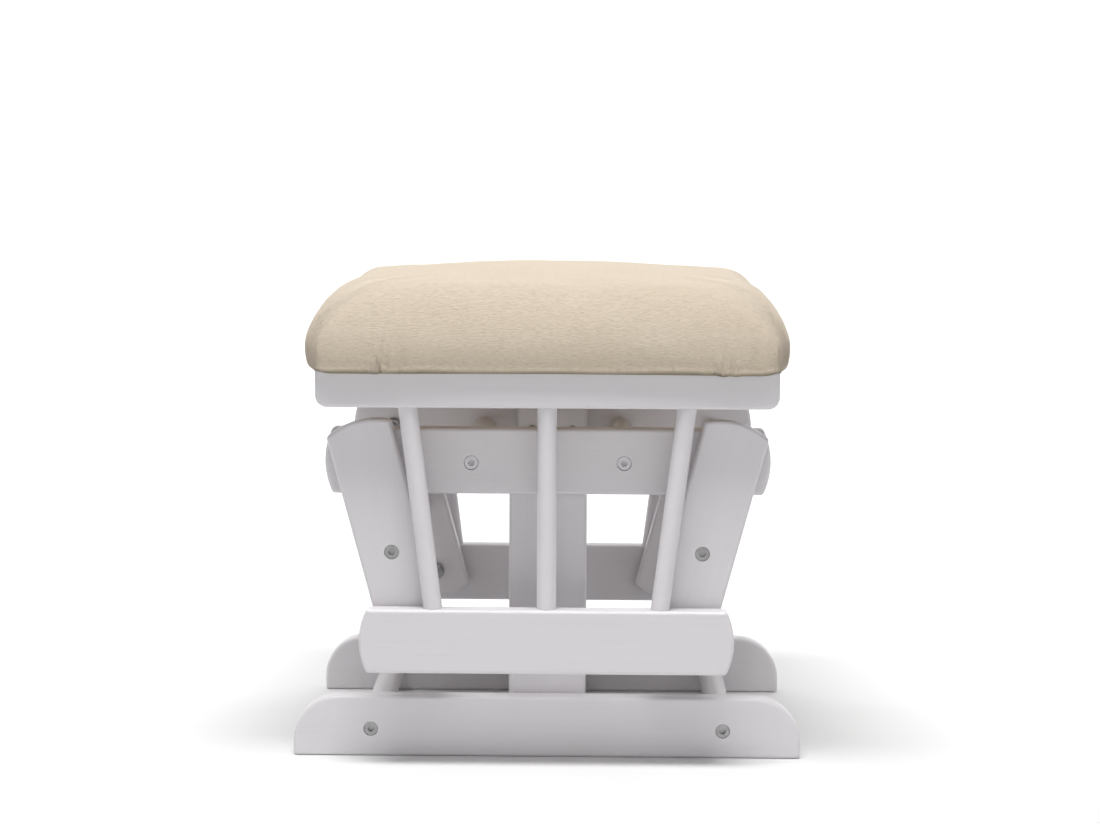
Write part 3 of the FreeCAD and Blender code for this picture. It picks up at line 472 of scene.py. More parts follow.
def woven_cloth(name, settings):
    """Plain weave with long thick threads, laid out by the cover's own map, with painted shade in
    the low parts of its weave and slubs and along its hem.
    """
    material, tree, shader = new_material(name)
    cover = add_node(tree, "ShaderNodeUVMap", uv_map=COVER_MAP).outputs["UV"]

    def laid(along, across):
        inputs = {"Vector": cover, "Scale": (1 / along, 1 / across, 1.0)}
        return add_node(tree, "ShaderNodeMapping", inputs).outputs["Vector"]

    slub_place = laid(settings.slub_length, settings.slub_height)
    streak_place = laid(4 * settings.slub_length, 3 * settings.slub_height)
    slubs = noise_value(tree, slub_place, detail=3.0, roughness=0.65)
    streaks = noise_value(tree, streak_place, detail=2.0)
    clouds = noise_value(tree, laid(*CLOTH_CLOUDS), detail=2.0)
    waves = []
    for direction in ("X", "Y"):
        threads = add_node(tree, "ShaderNodeTexWave", {
            "Vector": laid(settings.thread, settings.thread), "Scale": ONE_WAVE,
            "Distortion": 1.2, "Detail": 1.0, "Detail Scale": 0.7},
            wave_type="BANDS", bands_direction=direction)
        waves.append(threads.outputs["Fac"])
    weave = calculate(tree, "MULTIPLY", *waves)
    # deep and between blend in the groove colour, painted shade, where the slubs and the weave sit
    # low.
    thick = calculate(tree, "MULTIPLY", remap(tree, slubs, 0.53, 0.7), 0.85)
    deep = calculate(tree, "MULTIPLY", remap(tree, slubs, 0.47, 0.32), 0.55)
    faded = remap(tree, clouds, 0.3, 0.8, 0.0, 0.3)
    between = remap(tree, weave, 0.0, 0.25, 0.28, 0.0)
    # The hem mark paints shade: it blends the dark hem colour into the bottom of the cushion's
    # sides.
    turned = add_node(tree, "ShaderNodeAttribute", attribute_name=HEM_SHADE_MARK).outputs["Fac"]
    colour = settings.cloth
    for share, tint in ((deep, settings.groove), (thick, settings.slub), (faded, settings.slub),
                        (between, settings.groove), (turned, settings.hem)):
        colour = blend_colours(tree, share, colour, tint)
    tree.links.new(colour, shader.inputs["Base Color"])
    tree.links.new(remap(tree, slubs, 0.3, 0.7, 0.95, 0.85), shader.inputs["Roughness"])
    shader.inputs["Specular IOR Level"].default_value = 0.22
    shader.inputs["Sheen Weight"].default_value = 0.15
    shader.inputs["Sheen Roughness"].default_value = 0.5
    normal = raise_surface(tree, shader, weave, WEAVE_RELIEF)
    normal = raise_surface(tree, shader, slubs, SLUB_RELIEF, normal)
    raise_surface(tree, shader, streaks, STREAK_RELIEF, normal)
    return material


def sewing_thread(name, colour):
    """Twisted sewing thread, painted darker as shade where its twist sinks."""
    material, tree, shader = new_material(name)
    twist = noise_value(tree, object_place(tree, THREAD_TWIST), detail=1.0)
    # Where the twist's bump is low, the colour is painted darker as shade.
    strands_with_painted_shade = blend_colours(tree, remap(tree, twist, 0.35, 0.65), shaded(colour, 0.7), colour)
    tree.links.new(strands_with_painted_shade, shader.inputs["Base Color"])
    shader.inputs["Roughness"].default_value = 0.7
    raise_surface(tree, shader, twist, TWIST_RELIEF)
    return material


def painted_recess_shade(name):
    """Near-black painted shade that stands in for the bottom of a screw's cross recess, a little
    mottled.
    """
    material, tree, shader = new_material(name)
    shade_mottle = noise_value(tree, object_place(tree, RECESS_SHADE_MOTTLE), detail=2.0)
    # Two near-black tones of painted shade, for the dark of the recess.
    deepest_shade, lighter_shade = (0.03, 0.03, 0.032), (0.07, 0.07, 0.075)
    colour = blend_colours(tree, remap(tree, shade_mottle, 0.3, 0.7), deepest_shade, lighter_shade)
    tree.links.new(colour, shader.inputs["Base Color"])
    shader.inputs["Metallic"].default_value = 0.6
    shader.inputs["Roughness"].default_value = 0.55
    return material


def studio_paper(name, colour):
    """Matt paper of the floor and backdrop."""
    material, tree, shader = new_material(name)
    pulp = noise_value(tree, object_place(tree, PAPER_PULP), detail=2.0)
    paper = blend_colours(tree, pulp, shaded(colour, 0.985), colour)
    tree.links.new(paper, shader.inputs["Base Color"])
    shader.inputs["Roughness"].default_value = 0.9
    shader.inputs["Specular IOR Level"].default_value = 0.2
    return material


def dress(node, material):
    """Give a CAD node's material slots a finish."""
    for slot in frame["nodes"][node].material_slots:
        slot.material = material


def nodes_in_slot(name):
    """CAD nodes that the record puts in a material slot."""
    return [part["node"] for part in frame["record"]["subparts"] if part["material_slot"] == name]


def long_way(node):
    """The direction along a board or bar, from its box and its name."""
    for hand, side in HANDS.items():
        if node.startswith(hand) and node.endswith("swing_arm"):
            return lean_of(f"{hand}_upper_bearing_outer_rings",
                           f"{hand}_lower_bearing_inner_rings")
        if node.endswith(f"{hand}_spindle"):
            low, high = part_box(node)
            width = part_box(node.replace(hand, "middle"))
            lean = (high.x - low.x) - (width[1].x - width[0].x)
            return Vector((side * lean, 0, high.z - low.z)).normalized()
    low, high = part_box(node)
    spans = high - low
    return AXES[max(range(3), key=lambda axis: spans[axis])]


def lean_of(upper, lower):
    """The direction from the middle of one node to the middle of a higher one."""
    top, foot = ((high + low) / 2 for low, high in (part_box(upper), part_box(lower)))
    return Vector((top.x - foot.x, 0, top.z - foot.z)).normalized()


class OTTOMAN_OT_paint_boards(bpy.types.Operator):
    """Paint the rails, posts, boards, arms, bars and spindles along their grain"""
    bl_idname = "ottoman.paint_boards"
    bl_label = "Paint Boards and Bars"

    def execute(self, context):
        for node in nodes_in_slot("painted_wood"):
            paint = painted_wood(f"paint_{node}", long_way(node), context.scene.ottoman_paint)
            dress(node, paint)
        return {"FINISHED"}


class OTTOMAN_OT_finish_slats(bpy.types.Operator):
    """Leave the slats, cleats and dowels in bare wood"""
    bl_idname = "ottoman.finish_slats"
    bl_label = "Bare Wood"

    def execute(self, context):
        for node in nodes_in_slot("bare_wood"):
            way = Y_AXIS if node.endswith("dowels") else long_way(node)
            dress(node, bare_wood(f"wood_{node}", way, context.scene.ottoman_wood))
        return {"FINISHED"}


class OTTOMAN_OT_finish_steel(bpy.types.Operator):
    """Plate the bolts, nuts, studs and screws, and grind the bearing rings"""
    bl_idname = "ottoman.finish_steel"
    bl_label = "Fasteners and Bearings"

    def execute(self, context):
        steel = context.scene.ottoman_steel
        zinc = plated_steel("zinc_plating", steel.zinc, ZINC_ROUGHNESS)
        thread = threaded_steel("zinc_thread", steel.zinc, ZINC_ROUGHNESS, steel.thread_pitch)
        for node in nodes_in_slot("zinc_plated_steel"):
            dress(node, thread if node.endswith("studs") else zinc)
        ground = plated_steel("ground_steel", steel.bearing, GROUND_ROUGHNESS)
        for node in nodes_in_slot("bearing_steel"):
            dress(node, ground)
        enamel = painted_wood("enamelled_bolts", Y_AXIS, context.scene.ottoman_paint)
        for node in nodes_in_slot("painted_steel"):
            dress(node, enamel)
        return {"FINISHED"}


def loose_parts(node):
    """Vertex places of each separate solid in a CAD node."""
    body = bmesh.new()
    body.from_mesh(frame["nodes"][node].data)
    bmesh.ops.remove_doubles(body, verts=body.verts, dist=MERGE_GAP)
    unseen = set(body.verts)
    parts = []
    while unseen:
        front = [unseen.pop()]
        part = []
        while front:
            vertex = front.pop()
            part.append(vertex.co.copy())
            for edge in vertex.link_edges:
                other = edge.other_vert(vertex)
                if other in unseen:
                    unseen.remove(other)
                    front.append(other)
        parts.append(part)
    body.free()
    return parts


def screw_heads(node):
    """The middle of each wood screw's flat top, and the way it faces."""
    heads = []
    for part in loose_parts(node):
        low = Vector([min(co[axis] for co in part) for axis in range(3)])
        high = Vector([max(co[axis] for co in part) for axis in range(3)])
        middle = (low + high) / 2
        axis = max(range(3), key=lambda number: (high - low)[number])
        for end, sign in ((low, -1), (high, 1)):
            rim = [co for co in part if abs(co[axis] - end[axis]) < FLAT_GAP]
            if len(rim) >= FEWEST_RIM_POINTS:
                middle[axis] = end[axis]
                heads.append((middle, sign * AXES[axis]))
    return heads


def begin_tree(name, source, sizes, result):
    """A Geometry Nodes tree with a mesh and some sizes as inputs, and those inputs."""
    tree = bpy.data.node_groups.new(name, "GeometryNodeTree")
    tree.interface.new_socket(source, in_out="INPUT", socket_type="NodeSocketGeometry")
    for size in sizes:
        tree.interface.new_socket(size, in_out="INPUT", socket_type="NodeSocketFloat")
    tree.interface.new_socket(result, in_out="OUTPUT", socket_type="NodeSocketGeometry")
    return tree, add_node(tree, "NodeGroupInput").outputs


def finish_tree(tree, geometry, material, result):
    """Give a tree's geometry its material and put it out."""
    finished = add_node(tree, "GeometryNodeSetMaterial",
                        {"Geometry": geometry, "Material": material})
    add_node(tree, "NodeGroupOutput", {result: finished.outputs["Geometry"]})


def recess_tree(material):
    """Nodes that set a cross on each point of a mesh, facing the way that the mesh says."""
    tree, given = begin_tree("screw_recesses", "Heads", ("Width", "Arm", "Lift"), "Recesses")
    arms = []
    for order in (("Width", "Arm", "Lift"), ("Arm", "Width", "Lift")):
        size = add_node(tree, "ShaderNodeCombineXYZ",
                        {axis: given[name] for axis, name in zip("XYZ", order)}).outputs["Vector"]
        arms.append(add_node(tree, "GeometryNodeMeshCube", {"Size": size}).outputs["Mesh"])
    cross = add_node(tree, "GeometryNodeJoinGeometry")
    for arm in arms:
        tree.links.new(arm, cross.inputs["Geometry"])
    facing = add_node(tree, "GeometryNodeInputNamedAttribute", {"Name": "facing"},
                      data_type="FLOAT_VECTOR")
    turn = add_node(tree, "FunctionNodeAlignRotationToVector",
                    {"Vector": facing.outputs["Attribute"]}, axis="Z")
    placed = add_node(tree, "GeometryNodeInstanceOnPoints", {
        "Points": given["Heads"], "Instance": cross.outputs["Geometry"],
        "Rotation": turn.outputs["Rotation"]})
    real = add_node(tree, "GeometryNodeRealizeInstances", {"Geometry": placed.outputs["Instances"]})
    finish_tree(tree, real.outputs["Geometry"], material, "Recesses")
    return tree


def grown(name, source, tree, values):
    """A plain mesh object from a mesh and a tree of Geometry Nodes."""
    piece = bpy.data.objects.new(name, source)
    bpy.context.scene.collection.objects.link(piece)
    modifier = piece.modifiers.new("grow", "NODES")
    modifier.node_group = tree
    sockets = {item.name: item.identifier for item in tree.interface.items_tree
               if item.in_out == "INPUT"}
    for socket, value in values.items():
        modifier[sockets[socket]] = value
    graph = bpy.context.evaluated_depsgraph_get()
    result = bpy.data.meshes.new_from_object(piece.evaluated_get(graph))
    piece.modifiers.clear()
    piece.data = result
    result.name = name
    return piece


class OTTOMAN_OT_cut_recesses(bpy.types.Operator):
    """Lay a thin near-black cross on each wood screw's head, painted shade standing in for its
    cross recess
    """
    bl_idname = "ottoman.cut_recesses"
    bl_label = "Screw Recesses"

    def execute(self, context):
        steel = context.scene.ottoman_steel
        tree = recess_tree(painted_recess_shade("recess_shade"))
        screws = {"base": ("post_screws",), "seat": ("cleat_screws", "slat_screws")}
        for body, nodes in screws.items():
            heads = [head for node in nodes for head in screw_heads(node)]
            mesh = bpy.data.meshes.new(f"{body}_screw_heads")
            mesh.from_pydata([place for place, way in heads], [], [])
            facing = mesh.attributes.new("facing", "FLOAT_VECTOR", "POINT")
            facing.data.foreach_set("vector", [part for place, way in heads for part in way])
            sizes = {"Width": steel.recess_width, "Arm": steel.recess_arm, "Lift": RECESS_LIFT}
            piece = grown(f"{body}_screw_recesses", mesh, tree, sizes)
            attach(piece, body)
        return {"FINISHED"}


def rest_level():
    """Level of the cushion's underside, just above the seat frame."""
    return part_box("front_top_rail")[1].z + REST_GAP


def middle_and_half(low, high):
    """A box's middle and half its size."""
    return (high + low) / 2, (high - low) / 2


def mesh_from(body, name):
    """Turn a finished bmesh into a mesh."""
    mesh = bpy.data.meshes.new(name)
    body.to_mesh(mesh)
    body.free()
    return mesh


def band(body, lower, upper):
    """Faces between two closed rings of vertices."""
    for step in range(len(lower)):
        after = (step + 1) % len(lower)
        body.faces.new((lower[step], lower[after], upper[after], upper[step]))


def plan_outline(half_x, half_y, corner, waist):
    """Points round a rounded rectangle whose sides pull in between the corners."""
    reach_x = half_x - corner
    reach_y = half_y - corner
    quarter = corner * math.pi / 2
    lengths = (2 * reach_y, quarter, 2 * reach_x, quarter) * 2
    total = sum(lengths)
    starts = np.cumsum((0,) + lengths)
    points = []
    for step in range(OUTLINE_STEPS):
        distance = step / OUTLINE_STEPS * total
        side = int(np.searchsorted(starts, distance, side="right")) - 1
        share = (distance - starts[side]) / lengths[side]
        turned = side >= 4
        if side % 2:
            angle = (side // 2 + share) * math.pi / 2
            centre = ((1, 1), (-1, 1), (-1, -1), (1, -1))[side // 2]
            x = centre[0] * reach_x + corner * math.cos(angle)
            y = centre[1] * reach_y + corner * math.sin(angle)
        else:
            pull = waist * math.sin(math.pi * share) ** 2
            if side % 4 == 0:
                x, y = half_x - pull, reach_y * (2 * share - 1)
            else:
                x, y = reach_x * (1 - 2 * share), half_y - pull
            if turned:
                x, y = -x, -y
        points.append((x, y))
    return points


def side_profile(half_y, bottom, top, settings):
    """Inset, level and corner radius of each ring, from under the cushion's hem to its crown."""
    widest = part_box("cushion")[0].z + settings.side_rise
    shoulder = widest + settings.shoulder_rise
    profile = [(inset, bottom, settings.corner) for inset in UNDERSIDE_INSETS]
    for share in HEM_SHARES:
        inset = settings.hem_reach * (1 - math.sqrt(1 - share ** 2))
        profile.append((inset, widest - share * (widest - bottom), settings.corner - inset / 2))
    upper = []
    for share in SHOULDER_SHARES:
        rolled = (1 - share ** SHOULDER_POWER) ** (1 / SHOULDER_POWER)
        upper.append((settings.shoulder_reach * (1 - rolled), widest + share * (shoulder - widest)))
    for share in CROWN_SHARES:
        inset = settings.shoulder_reach + (half_y - settings.shoulder_reach) * (1 - share)
        upper.append((inset, shoulder + (top - shoulder) * (1 - share ** 2)))
    for inset, level in upper:
        corner = min(settings.corner + CORNER_GROWTH * inset, CORNER_SHARE * (half_y - inset))
        profile.append((inset, level, corner))
    return profile


def cushion_blank(low, high, settings):
    """A closed crowned form, before its cover is blown up."""
    middle, half = middle_and_half(low, high)
    rest = rest_level()
    body = bmesh.new()
    loops = []
    for inset, level, corner in side_profile(half.y, rest, high.z, settings):
        outline = plan_outline(half.x - inset, half.y - inset, corner, settings.waist)
        points = [(middle.x + x, middle.y + y, level) for x, y in outline]
        loops.append([body.verts.new(point) for point in points])
    for lower, upper in zip(loops, loops[1:]):
        band(body, lower, upper)
    for loop, level, flip in ((loops[0], rest, True), (loops[-1], high.z, False)):
        pole = body.verts.new((middle.x, middle.y, level))
        for step in range(OUTLINE_STEPS):
            after = (step + 1) % OUTLINE_STEPS
            face = (loop[after], loop[step], pole) if flip else (loop[step], loop[after], pole)
            body.faces.new(face)
    return mesh_from(body, "cushion_blank")


def applied(piece):
    """Bake a piece's modifiers into its mesh."""
    graph = bpy.context.evaluated_depsgraph_get()
    mesh = bpy.data.meshes.new_from_object(piece.evaluated_get(graph))
    piece.modifiers.clear()
    old = piece.data
    piece.data = mesh
    bpy.data.meshes.remove(old)


def vertex_places(mesh):
    """Places of a mesh's vertices as an array."""
    places = np.zeros(len(mesh.vertices) * 3, np.float32)
    mesh.vertices.foreach_get("co", places)
    return places.reshape(-1, 3).astype(float)


def vertex_normals(mesh):
    """Normals of a mesh's vertices as an array."""
    normals = np.zeros(len(mesh.vertices) * 3, np.float32)
    mesh.vertex_normals.foreach_get("vector", normals)
    return normals.reshape(-1, 3).astype(float)


def move_vertices(mesh, places):
    """Write an array of places back to a mesh."""
    mesh.vertices.foreach_set("co", places.astype(np.float32).ravel())
    mesh.update()


def evened(mesh, values, rounds):
    """Values of a mesh's vertices, evened out with their neighbours' round after round."""
    ends = np.zeros(len(mesh.edges) * 2, np.int32)
    mesh.edges.foreach_get("vertices", ends)
    one, other = ends.reshape(-1, 2).T
    here = np.concatenate((one, other))
    there = np.concatenate((other, one))
    neighbours = np.bincount(here, minlength=len(values))[:, None]
    for _ in range(rounds):
        sums = [np.bincount(here, weights=column[there], minlength=len(values))
                for column in values.T]
        values = (values + np.stack(sums, 1) / neighbours) / 2
    return values


def stuff_cushion(piece, floor, settings):
    """Blow up the cover as cloth, held where it rests, and keep some of the creases it gets."""
    start = vertex_places(piece.data)
    held = piece.vertex_groups.new(name="held")
    resting = np.nonzero(start[:, 2] < floor + HELD_BAND)[0]
    held.add([int(index) for index in resting], 1.0, "REPLACE")
    modifier = piece.modifiers.new("cloth", "CLOTH")
    cloth = modifier.settings
    for name, value in CLOTH.items():
        setattr(cloth, name, value)
    cloth.use_pressure = True
    cloth.uniform_pressure_force = settings.pressure
    cloth.vertex_group_mass = held.name
    cloth.effector_weights.gravity = 0
    modifier.point_cache.frame_start = 1
    modifier.point_cache.frame_end = settings.frames
    for number in range(1, settings.frames + 1):
        bpy.context.scene.frame_set(number)
    graph = bpy.context.evaluated_depsgraph_get()
    swollen = vertex_places(piece.evaluated_get(graph).data)
    piece.modifiers.clear()
    piece.vertex_groups.clear()
    bpy.context.scene.frame_set(1)
    moves = swollen - start
    lengths = np.linalg.norm(moves, axis=1, keepdims=True)
    capped = moves * np.minimum(1.0, settings.cap / np.maximum(lengths, TINY))
    fine = evened(piece.data, capped, FINE_ROUNDS)
    broad = evened(piece.data, capped, CREASE_ROUNDS)
    move_vertices(piece.data, start + settings.crease * (fine - broad))


def fit_to_box(piece, low, high):
    """Stretch the cushion so that it fills its place exactly."""
    places = vertex_places(piece.data)
    lowest, highest = places.min(0), places.max(0)
    share = (places - lowest) / (highest - lowest)
    move_vertices(piece.data, np.array(low) + share * (np.array(high) - np.array(low)))


def lap_frame(piece, hem):
    """Draw the hem down outside the seat frame, past the top of its rails."""
    places = vertex_places(piece.data)
    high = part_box("front_top_rail")[1]
    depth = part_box("back_top_rail")[1].y
    limits = (high.x + REST_GAP, depth + REST_GAP)
    outside = (np.abs(places[:, 0]) > limits[0]) | (np.abs(places[:, 1]) > limits[1])
    lowest = places[outside, 2].min()
    share = np.clip(1 - (places[:, 2] - lowest) / LAP_BAND, 0, 1)
    places[:, 2] -= (lowest - hem) * outside * share * share * (3 - 2 * share)
    level = vertex_normals(piece.data)[:, :2]
    level /= np.maximum(np.linalg.norm(level, axis=1, keepdims=True), TINY)
    roll = HEM_ROLL * np.clip(1 - (places[:, 2] - hem) / ROLL_BAND, 0, 1) ** 2 * outside
    rolled = places[:, :2] - roll[:, None] * level
    for side, limit in enumerate(limits):
        beyond = np.abs(places[:, side]) > limit
        kept = np.sign(places[:, side]) * np.maximum(np.abs(rolled[:, side]), limit)
        rolled[:, side] = np.where(beyond, kept, rolled[:, side])
    places[:, :2] = rolled
    move_vertices(piece.data, places)


def bell(distance, width):
    """A smooth hump, 1 at no distance."""
    return np.exp(-(distance / width) ** 2)


def uprightness(normals, gain):
    """1 where the cover stands upright, down to 0 where it lies flat."""
    return np.clip(gain * np.hypot(normals[:, 0], normals[:, 1]), 0, 1)


def tuck_spots(half_x, half_y, inset):
    """Where the cover is gathered: each way from every corner, with a small slant."""
    spots = []
    for side_x in (-1, 1):
        for side_y in (-1, 1):
            slant = side_x * side_y
            spots.append(((side_x * (half_x - inset), side_y * half_y), (1, 0), slant))
            spots.append(((side_x * half_x, side_y * (half_y - inset)), (0, 1), -slant))
    return spots


def gather_tucks(piece, low, high, settings):
    """Press the gathered tucks into the sides, and let each hang a little at the hem."""
    places = vertex_places(piece.data)
    normals = vertex_normals(piece.data)
    middle, half = middle_and_half(low, high)
    rise = places[:, 2] - low.z
    fade = np.exp(-np.maximum(rise, 0) / TUCK_HEIGHT) * uprightness(normals, 1.6)
    moves = np.zeros_like(places)
    drops = np.zeros(len(places))
    spots = tuck_spots(half.x, half.y, settings.tuck_inset)
    for number, (spot, along, slant) in enumerate(spots):
        from_x = places[:, 0] - middle.x - spot[0]
        from_y = places[:, 1] - middle.y - spot[1]
        across = from_x * along[1] + from_y * along[0]
        near = bell(across, TUCK_WIDTH)
        stray = TUCK_WANDER * math.sin(TUCK_WANDER_TURN * number)
        for offset, strength, lean in PLEATS:
            wander = offset * MM + slant * lean * rise + stray
            distance = from_x * along[0] + from_y * along[1] - wander
            ridges = bell(np.abs(distance) - RIDGE_OFFSET, RIDGE_WIDTH)
            groove = bell(distance, GROOVE_WIDTH) - RIDGE_SHARE * ridges
            moves -= (settings.tuck_depth * strength * near * fade * groove)[:, None] * normals
            drops += strength * near * bell(distance, DROP_WIDTH)
    hem = bell(rise - DROP_BAND[0], DROP_BAND[1]) * uprightness(normals, 2)
    moves[:, 2] -= settings.tuck_drop * np.clip(drops, 0, 1) * hem
    move_vertices(piece.data, places + moves)


def swelling(place):
    """Broad soft waves with finer ones, half as high, on them."""
    return noise.noise(place * BROAD_WAVES) + 0.5 * noise.noise(place * FINE_WAVES)


def hem_wave(place):
    """Slow waves along the hem, the same at any height."""
    return noise.noise(Vector((place[0] * HEM_WAVES, place[1] * HEM_WAVES, 5)))


def ripple(piece, hem):
    """Small soft waves in the stuffing, and a hem that isn't quite straight."""
    places = vertex_places(piece.data)
    normals = vertex_normals(piece.data)
    rise = places[:, 2] - hem
    swell = np.array([swelling(Vector(place)) for place in places])
    above = np.clip(rise / RIPPLE_BAND, 0, 1)
    moves = normals * (RIPPLE_HEIGHT * swell * above)[:, None]
    near_hem = bell(rise - HEM_WAVE_BAND[0], HEM_WAVE_BAND[1]) * uprightness(normals, 2)
    slow = np.array([hem_wave(place) for place in places])
    moves[:, 2] += HEM_WAVE_HEIGHT * near_hem * slow
    move_vertices(piece.data, places + moves)


def paint_hem_shade(piece, hem):
    """Paint shade into the lowest few millimetres of the cushion's sides, where the cover turns
    under: a float that the cloth blends towards the dark hem colour.
    """
    mesh = piece.data
    rise = vertex_places(mesh)[:, 2] - hem
    mark = mesh.attributes.new(HEM_SHADE_MARK, "FLOAT", "POINT")
    shade = np.clip(HEM_SHADE_START - rise / HEM_SHADE_BAND, 0, HEM_SHADE_LIMIT)
    mark.data.foreach_set("value", shade.astype(np.float32))


def map_cover(piece, high):
    """Lay the threads over the cushion: along X and Y on top, straight down its sides."""
    mesh = piece.data
    places = vertex_places(mesh)
    normals = vertex_normals(mesh)
    drop = high.z - places[:, 2]
    flat = np.abs(normals[:, :2]) ** 4
    share = flat / np.maximum(flat.sum(1, keepdims=True), TINY)
    cover = places[:, :2] + np.sign(places[:, :2]) * share * drop[:, None]
    corners = np.zeros(len(mesh.loops), np.int32)
    mesh.loops.foreach_get("vertex_index", corners)
    layer = mesh.uv_layers.new(name=COVER_MAP)
    layer.data.foreach_set("uv", cover[corners].astype(np.float32).ravel())


class OTTOMAN_OT_make_cushion(bpy.types.Operator):
    """Blow up the cushion's cover over its stuffing and gather its hem"""
    bl_idname = "ottoman.make_cushion"
    bl_label = "Cushion"

    def execute(self, context):
        settings = context.scene.ottoman_cushion
        low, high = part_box("cushion")
        high.z -= settings.sag
        high.y += settings.bulge
        low.y -= settings.bulge
        piece = bpy.data.objects.new("padded_cushion", cushion_blank(low, high, settings))
        context.scene.collection.objects.link(piece)
        remesh = piece.modifiers.new("remesh", "REMESH")
        remesh.mode = "VOXEL"
        remesh.voxel_size = settings.voxel
        applied(piece)
        rest = rest_level()
        stuff_cushion(piece, rest, settings)
        smooth = piece.modifiers.new("smooth", "SMOOTH")
        smooth.iterations = SMOOTH_ROUNDS
        finer = piece.modifiers.new("finer", "SUBSURF")
        finer.levels = 1
        finer.render_levels = 1
        applied(piece)
        fit_to_box(piece, Vector((low.x, low.y, rest)), high)
        lap_frame(piece, low.z)
        paint_hem_shade(piece, low.z)
        ripple(piece, low.z)
        gather_tucks(piece, low, high, settings)
        piece.data.shade_smooth()
        map_cover(piece, high)
        piece.data.materials.append(woven_cloth("woven_cover", settings))
        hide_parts("cushion")
        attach(piece, "seat")
        return {"FINISHED"}


def stitch_tree(material):
    """Nodes that lay stitches along a path."""
    tree, given = begin_tree("hem_stitches", "Path", ("Pitch", "Length", "Radius"), "Stitches")
    path = add_node(tree, "GeometryNodeMeshToCurve", {"Mesh": given["Path"]})
    spaced = add_node(tree, "GeometryNodeCurveToPoints",
                      {"Curve": path.outputs["Curve"], "Length": given["Pitch"]}, mode="LENGTH")
    bead = add_node(tree, "GeometryNodeMeshUVSphere", {"Segments": 8, "Rings": 6, "Radius": 1.0})
    half = add_node(tree, "ShaderNodeMath", {0: given["Length"], 1: 0.5}, operation="MULTIPLY")
    size = add_node(tree, "ShaderNodeCombineXYZ", {
        "X": given["Radius"], "Y": given["Radius"], "Z": half.outputs["Value"]})
    placed = add_node(tree, "GeometryNodeInstanceOnPoints", {
        "Points": spaced.outputs["Points"], "Instance": bead.outputs["Mesh"],
        "Rotation": spaced.outputs["Rotation"], "Scale": size.outputs["Vector"]})
    real = add_node(tree, "GeometryNodeRealizeInstances", {"Geometry": placed.outputs["Instances"]})
    smooth = add_node(tree, "GeometryNodeSetShadeSmooth", {"Geometry": real.outputs["Geometry"]})
    finish_tree(tree, smooth.outputs["Geometry"], material, "Stitches")
    return tree


class OTTOMAN_OT_sew_hem(bpy.types.Operator):
    """Sew the hem of the cover round the underside of the cushion"""
    bl_idname = "ottoman.sew_hem"
    bl_label = "Hem Stitches"

    def execute(self, context):
        seam = context.scene.ottoman_seam
        cushion = context.scene.ottoman_cushion
        middle, half = middle_and_half(*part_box("cushion"))
        outline = plan_outline(half.x - seam.inset, half.y - seam.inset,
                               cushion.corner / 2, cushion.waist)
        points = [(middle.x + x, middle.y + y, rest_level()) for x, y in outline]
        links = [(step, (step + 1) % len(points)) for step in range(len(points))]
        mesh = bpy.data.meshes.new("hem_path")
        mesh.from_pydata(points, links, [])
        tree = stitch_tree(sewing_thread("hem_thread", cushion.slub))
        piece = grown("hem_stitches", mesh, tree,
                      {"Pitch": seam.pitch, "Length": seam.length, "Radius": seam.radius})
        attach(piece, "seat")
        return {"FINISHED"}


def light_panel(name, place, target, size, power):
    """A soft rectangular lamp that faces a point."""
    lamp = bpy.data.lights.new(name, "AREA")
    lamp.shape = "RECTANGLE"
    lamp.size, lamp.size_y = size
    lamp.energy = power
    panel = bpy.data.objects.new(name, lamp)
    panel.location = place
    panel.rotation_euler = (Vector(target) - Vector(place)).to_track_quat("-Z", "Y").to_euler()
    bpy.context.scene.collection.objects.link(panel)


def backdrop(settings):
    """A round floor that curves up into a wall on all sides."""
    profile = [(BACKDROP_FLAT / 2, 0.0)]
    for step in range(BEND_STEPS + 1):
        angle = step / BEND_STEPS * math.pi / 2
        profile.append((BACKDROP_FLAT + BACKDROP_BEND * math.sin(angle),
                        BACKDROP_BEND * (1 - math.cos(angle))))
    profile.append((BACKDROP_FLAT + BACKDROP_BEND, BACKDROP_HEIGHT))
    turns = [2 * math.pi * step / BACKDROP_STEPS for step in range(BACKDROP_STEPS)]
    body = bmesh.new()
    rings = []
    for reach, level in profile:
        points = [(reach * math.cos(turn), reach * math.sin(turn), level) for turn in turns]
        rings.append([body.verts.new(point) for point in points])
    body.faces.new(rings[0])
    for inner, outer in zip(rings, rings[1:]):
        band(body, outer, inner)
    mesh = mesh_from(body, "studio_floor")
    mesh.shade_smooth()
    mesh.materials.append(studio_paper("studio_paper", settings.floor))
    piece = bpy.data.objects.new("studio_floor", mesh)
    bpy.context.scene.collection.objects.link(piece)


def place_camera(settings):
    """The camera of the main view."""
    lens = bpy.data.cameras.new("main_view")
    lens.lens = settings.lens
    lens.sensor_width = SENSOR_WIDTH
    camera = bpy.data.objects.new("main_view", lens)
    turn = Matrix.Rotation(settings.turn, 4, "Z")
    pitch = Matrix.Rotation(math.pi / 2 - settings.pitch, 4, "X")
    roll = Matrix.Rotation(settings.roll, 4, "Z")
    camera.matrix_world = Matrix.Translation(settings.camera_place) @ turn @ pitch @ roll
    bpy.context.scene.collection.objects.link(camera)
    bpy.context.scene.camera = camera


def surrounding_light(strength):
    """Even white light from all round."""
    world = bpy.data.worlds.new("studio_light")
    world.use_nodes = True
    background = world.node_tree.nodes["Background"]
    background.inputs["Color"].default_value = (1.0, 1.0, 1.0, 1.0)
    background.inputs["Strength"].default_value = strength
    bpy.context.scene.world = world


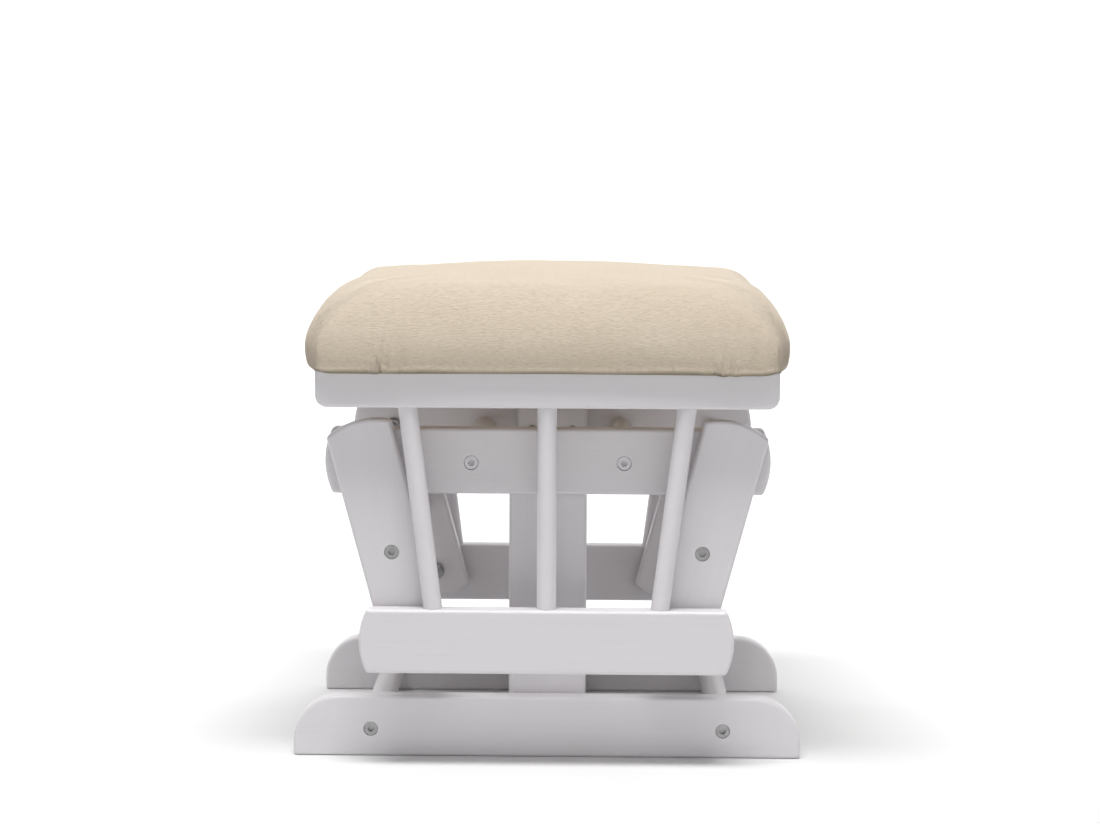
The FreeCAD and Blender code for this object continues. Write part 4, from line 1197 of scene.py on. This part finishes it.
class OTTOMAN_OT_set_stage(bpy.types.Operator):
    """Set the floor, the lights and the camera of the main view"""
    bl_idname = "ottoman.set_stage"
    bl_label = "Stage"

    def execute(self, context):
        settings = context.scene.ottoman_stage
        context.scene.view_settings.view_transform = "Standard"
        backdrop(settings)
        surrounding_light(settings.sky)
        for name, (place, aim, size, power) in LAMPS.items():
            light_panel(name, place, aim, size, getattr(settings, power))
        place_camera(settings)
        return {"FINISHED"}


OPERATORS = (
    OTTOMAN_OT_paint_boards,
    OTTOMAN_OT_finish_slats,
    OTTOMAN_OT_finish_steel,
    OTTOMAN_OT_cut_recesses,
    OTTOMAN_OT_make_cushion,
    OTTOMAN_OT_sew_hem,
    OTTOMAN_OT_set_stage,
)


class OTTOMAN_PT_pieces(bpy.types.Panel):
    """The ottoman's pieces and stage, in the order in which they are made"""
    bl_idname = "OTTOMAN_PT_pieces"
    bl_label = "Glider Ottoman"
    bl_space_type = "VIEW_3D"
    bl_region_type = "UI"
    bl_category = "Ottoman"

    def draw(self, context):
        for name in SETTINGS:
            box = self.layout.box()
            for setting in getattr(context.scene, name).bl_rna.properties:
                if setting.identifier not in ("rna_type", "name"):
                    box.prop(getattr(context.scene, name), setting.identifier)
        for operator in OPERATORS:
            self.layout.operator(operator.bl_idname)


def register():
    """Add the settings, the operators and the panel to Blender."""
    for name, group in SETTINGS.items():
        bpy.utils.register_class(group)
        setattr(bpy.types.Scene, name, PointerProperty(type=group))
    for operator in OPERATORS:
        bpy.utils.register_class(operator)
    bpy.utils.register_class(OTTOMAN_PT_pieces)


def unregister():
    """Take them away again."""
    bpy.utils.unregister_class(OTTOMAN_PT_pieces)
    for operator in reversed(OPERATORS):
        bpy.utils.unregister_class(operator)
    for name, group in SETTINGS.items():
        delattr(bpy.types.Scene, name)
        bpy.utils.unregister_class(group)


def main():
    """Make every piece and the stage."""
    register()
    for operator in OPERATORS:
        group, name = operator.bl_idname.split(".")
        getattr(getattr(bpy.ops, group), name)()


if __name__ == "__main__":
    main()
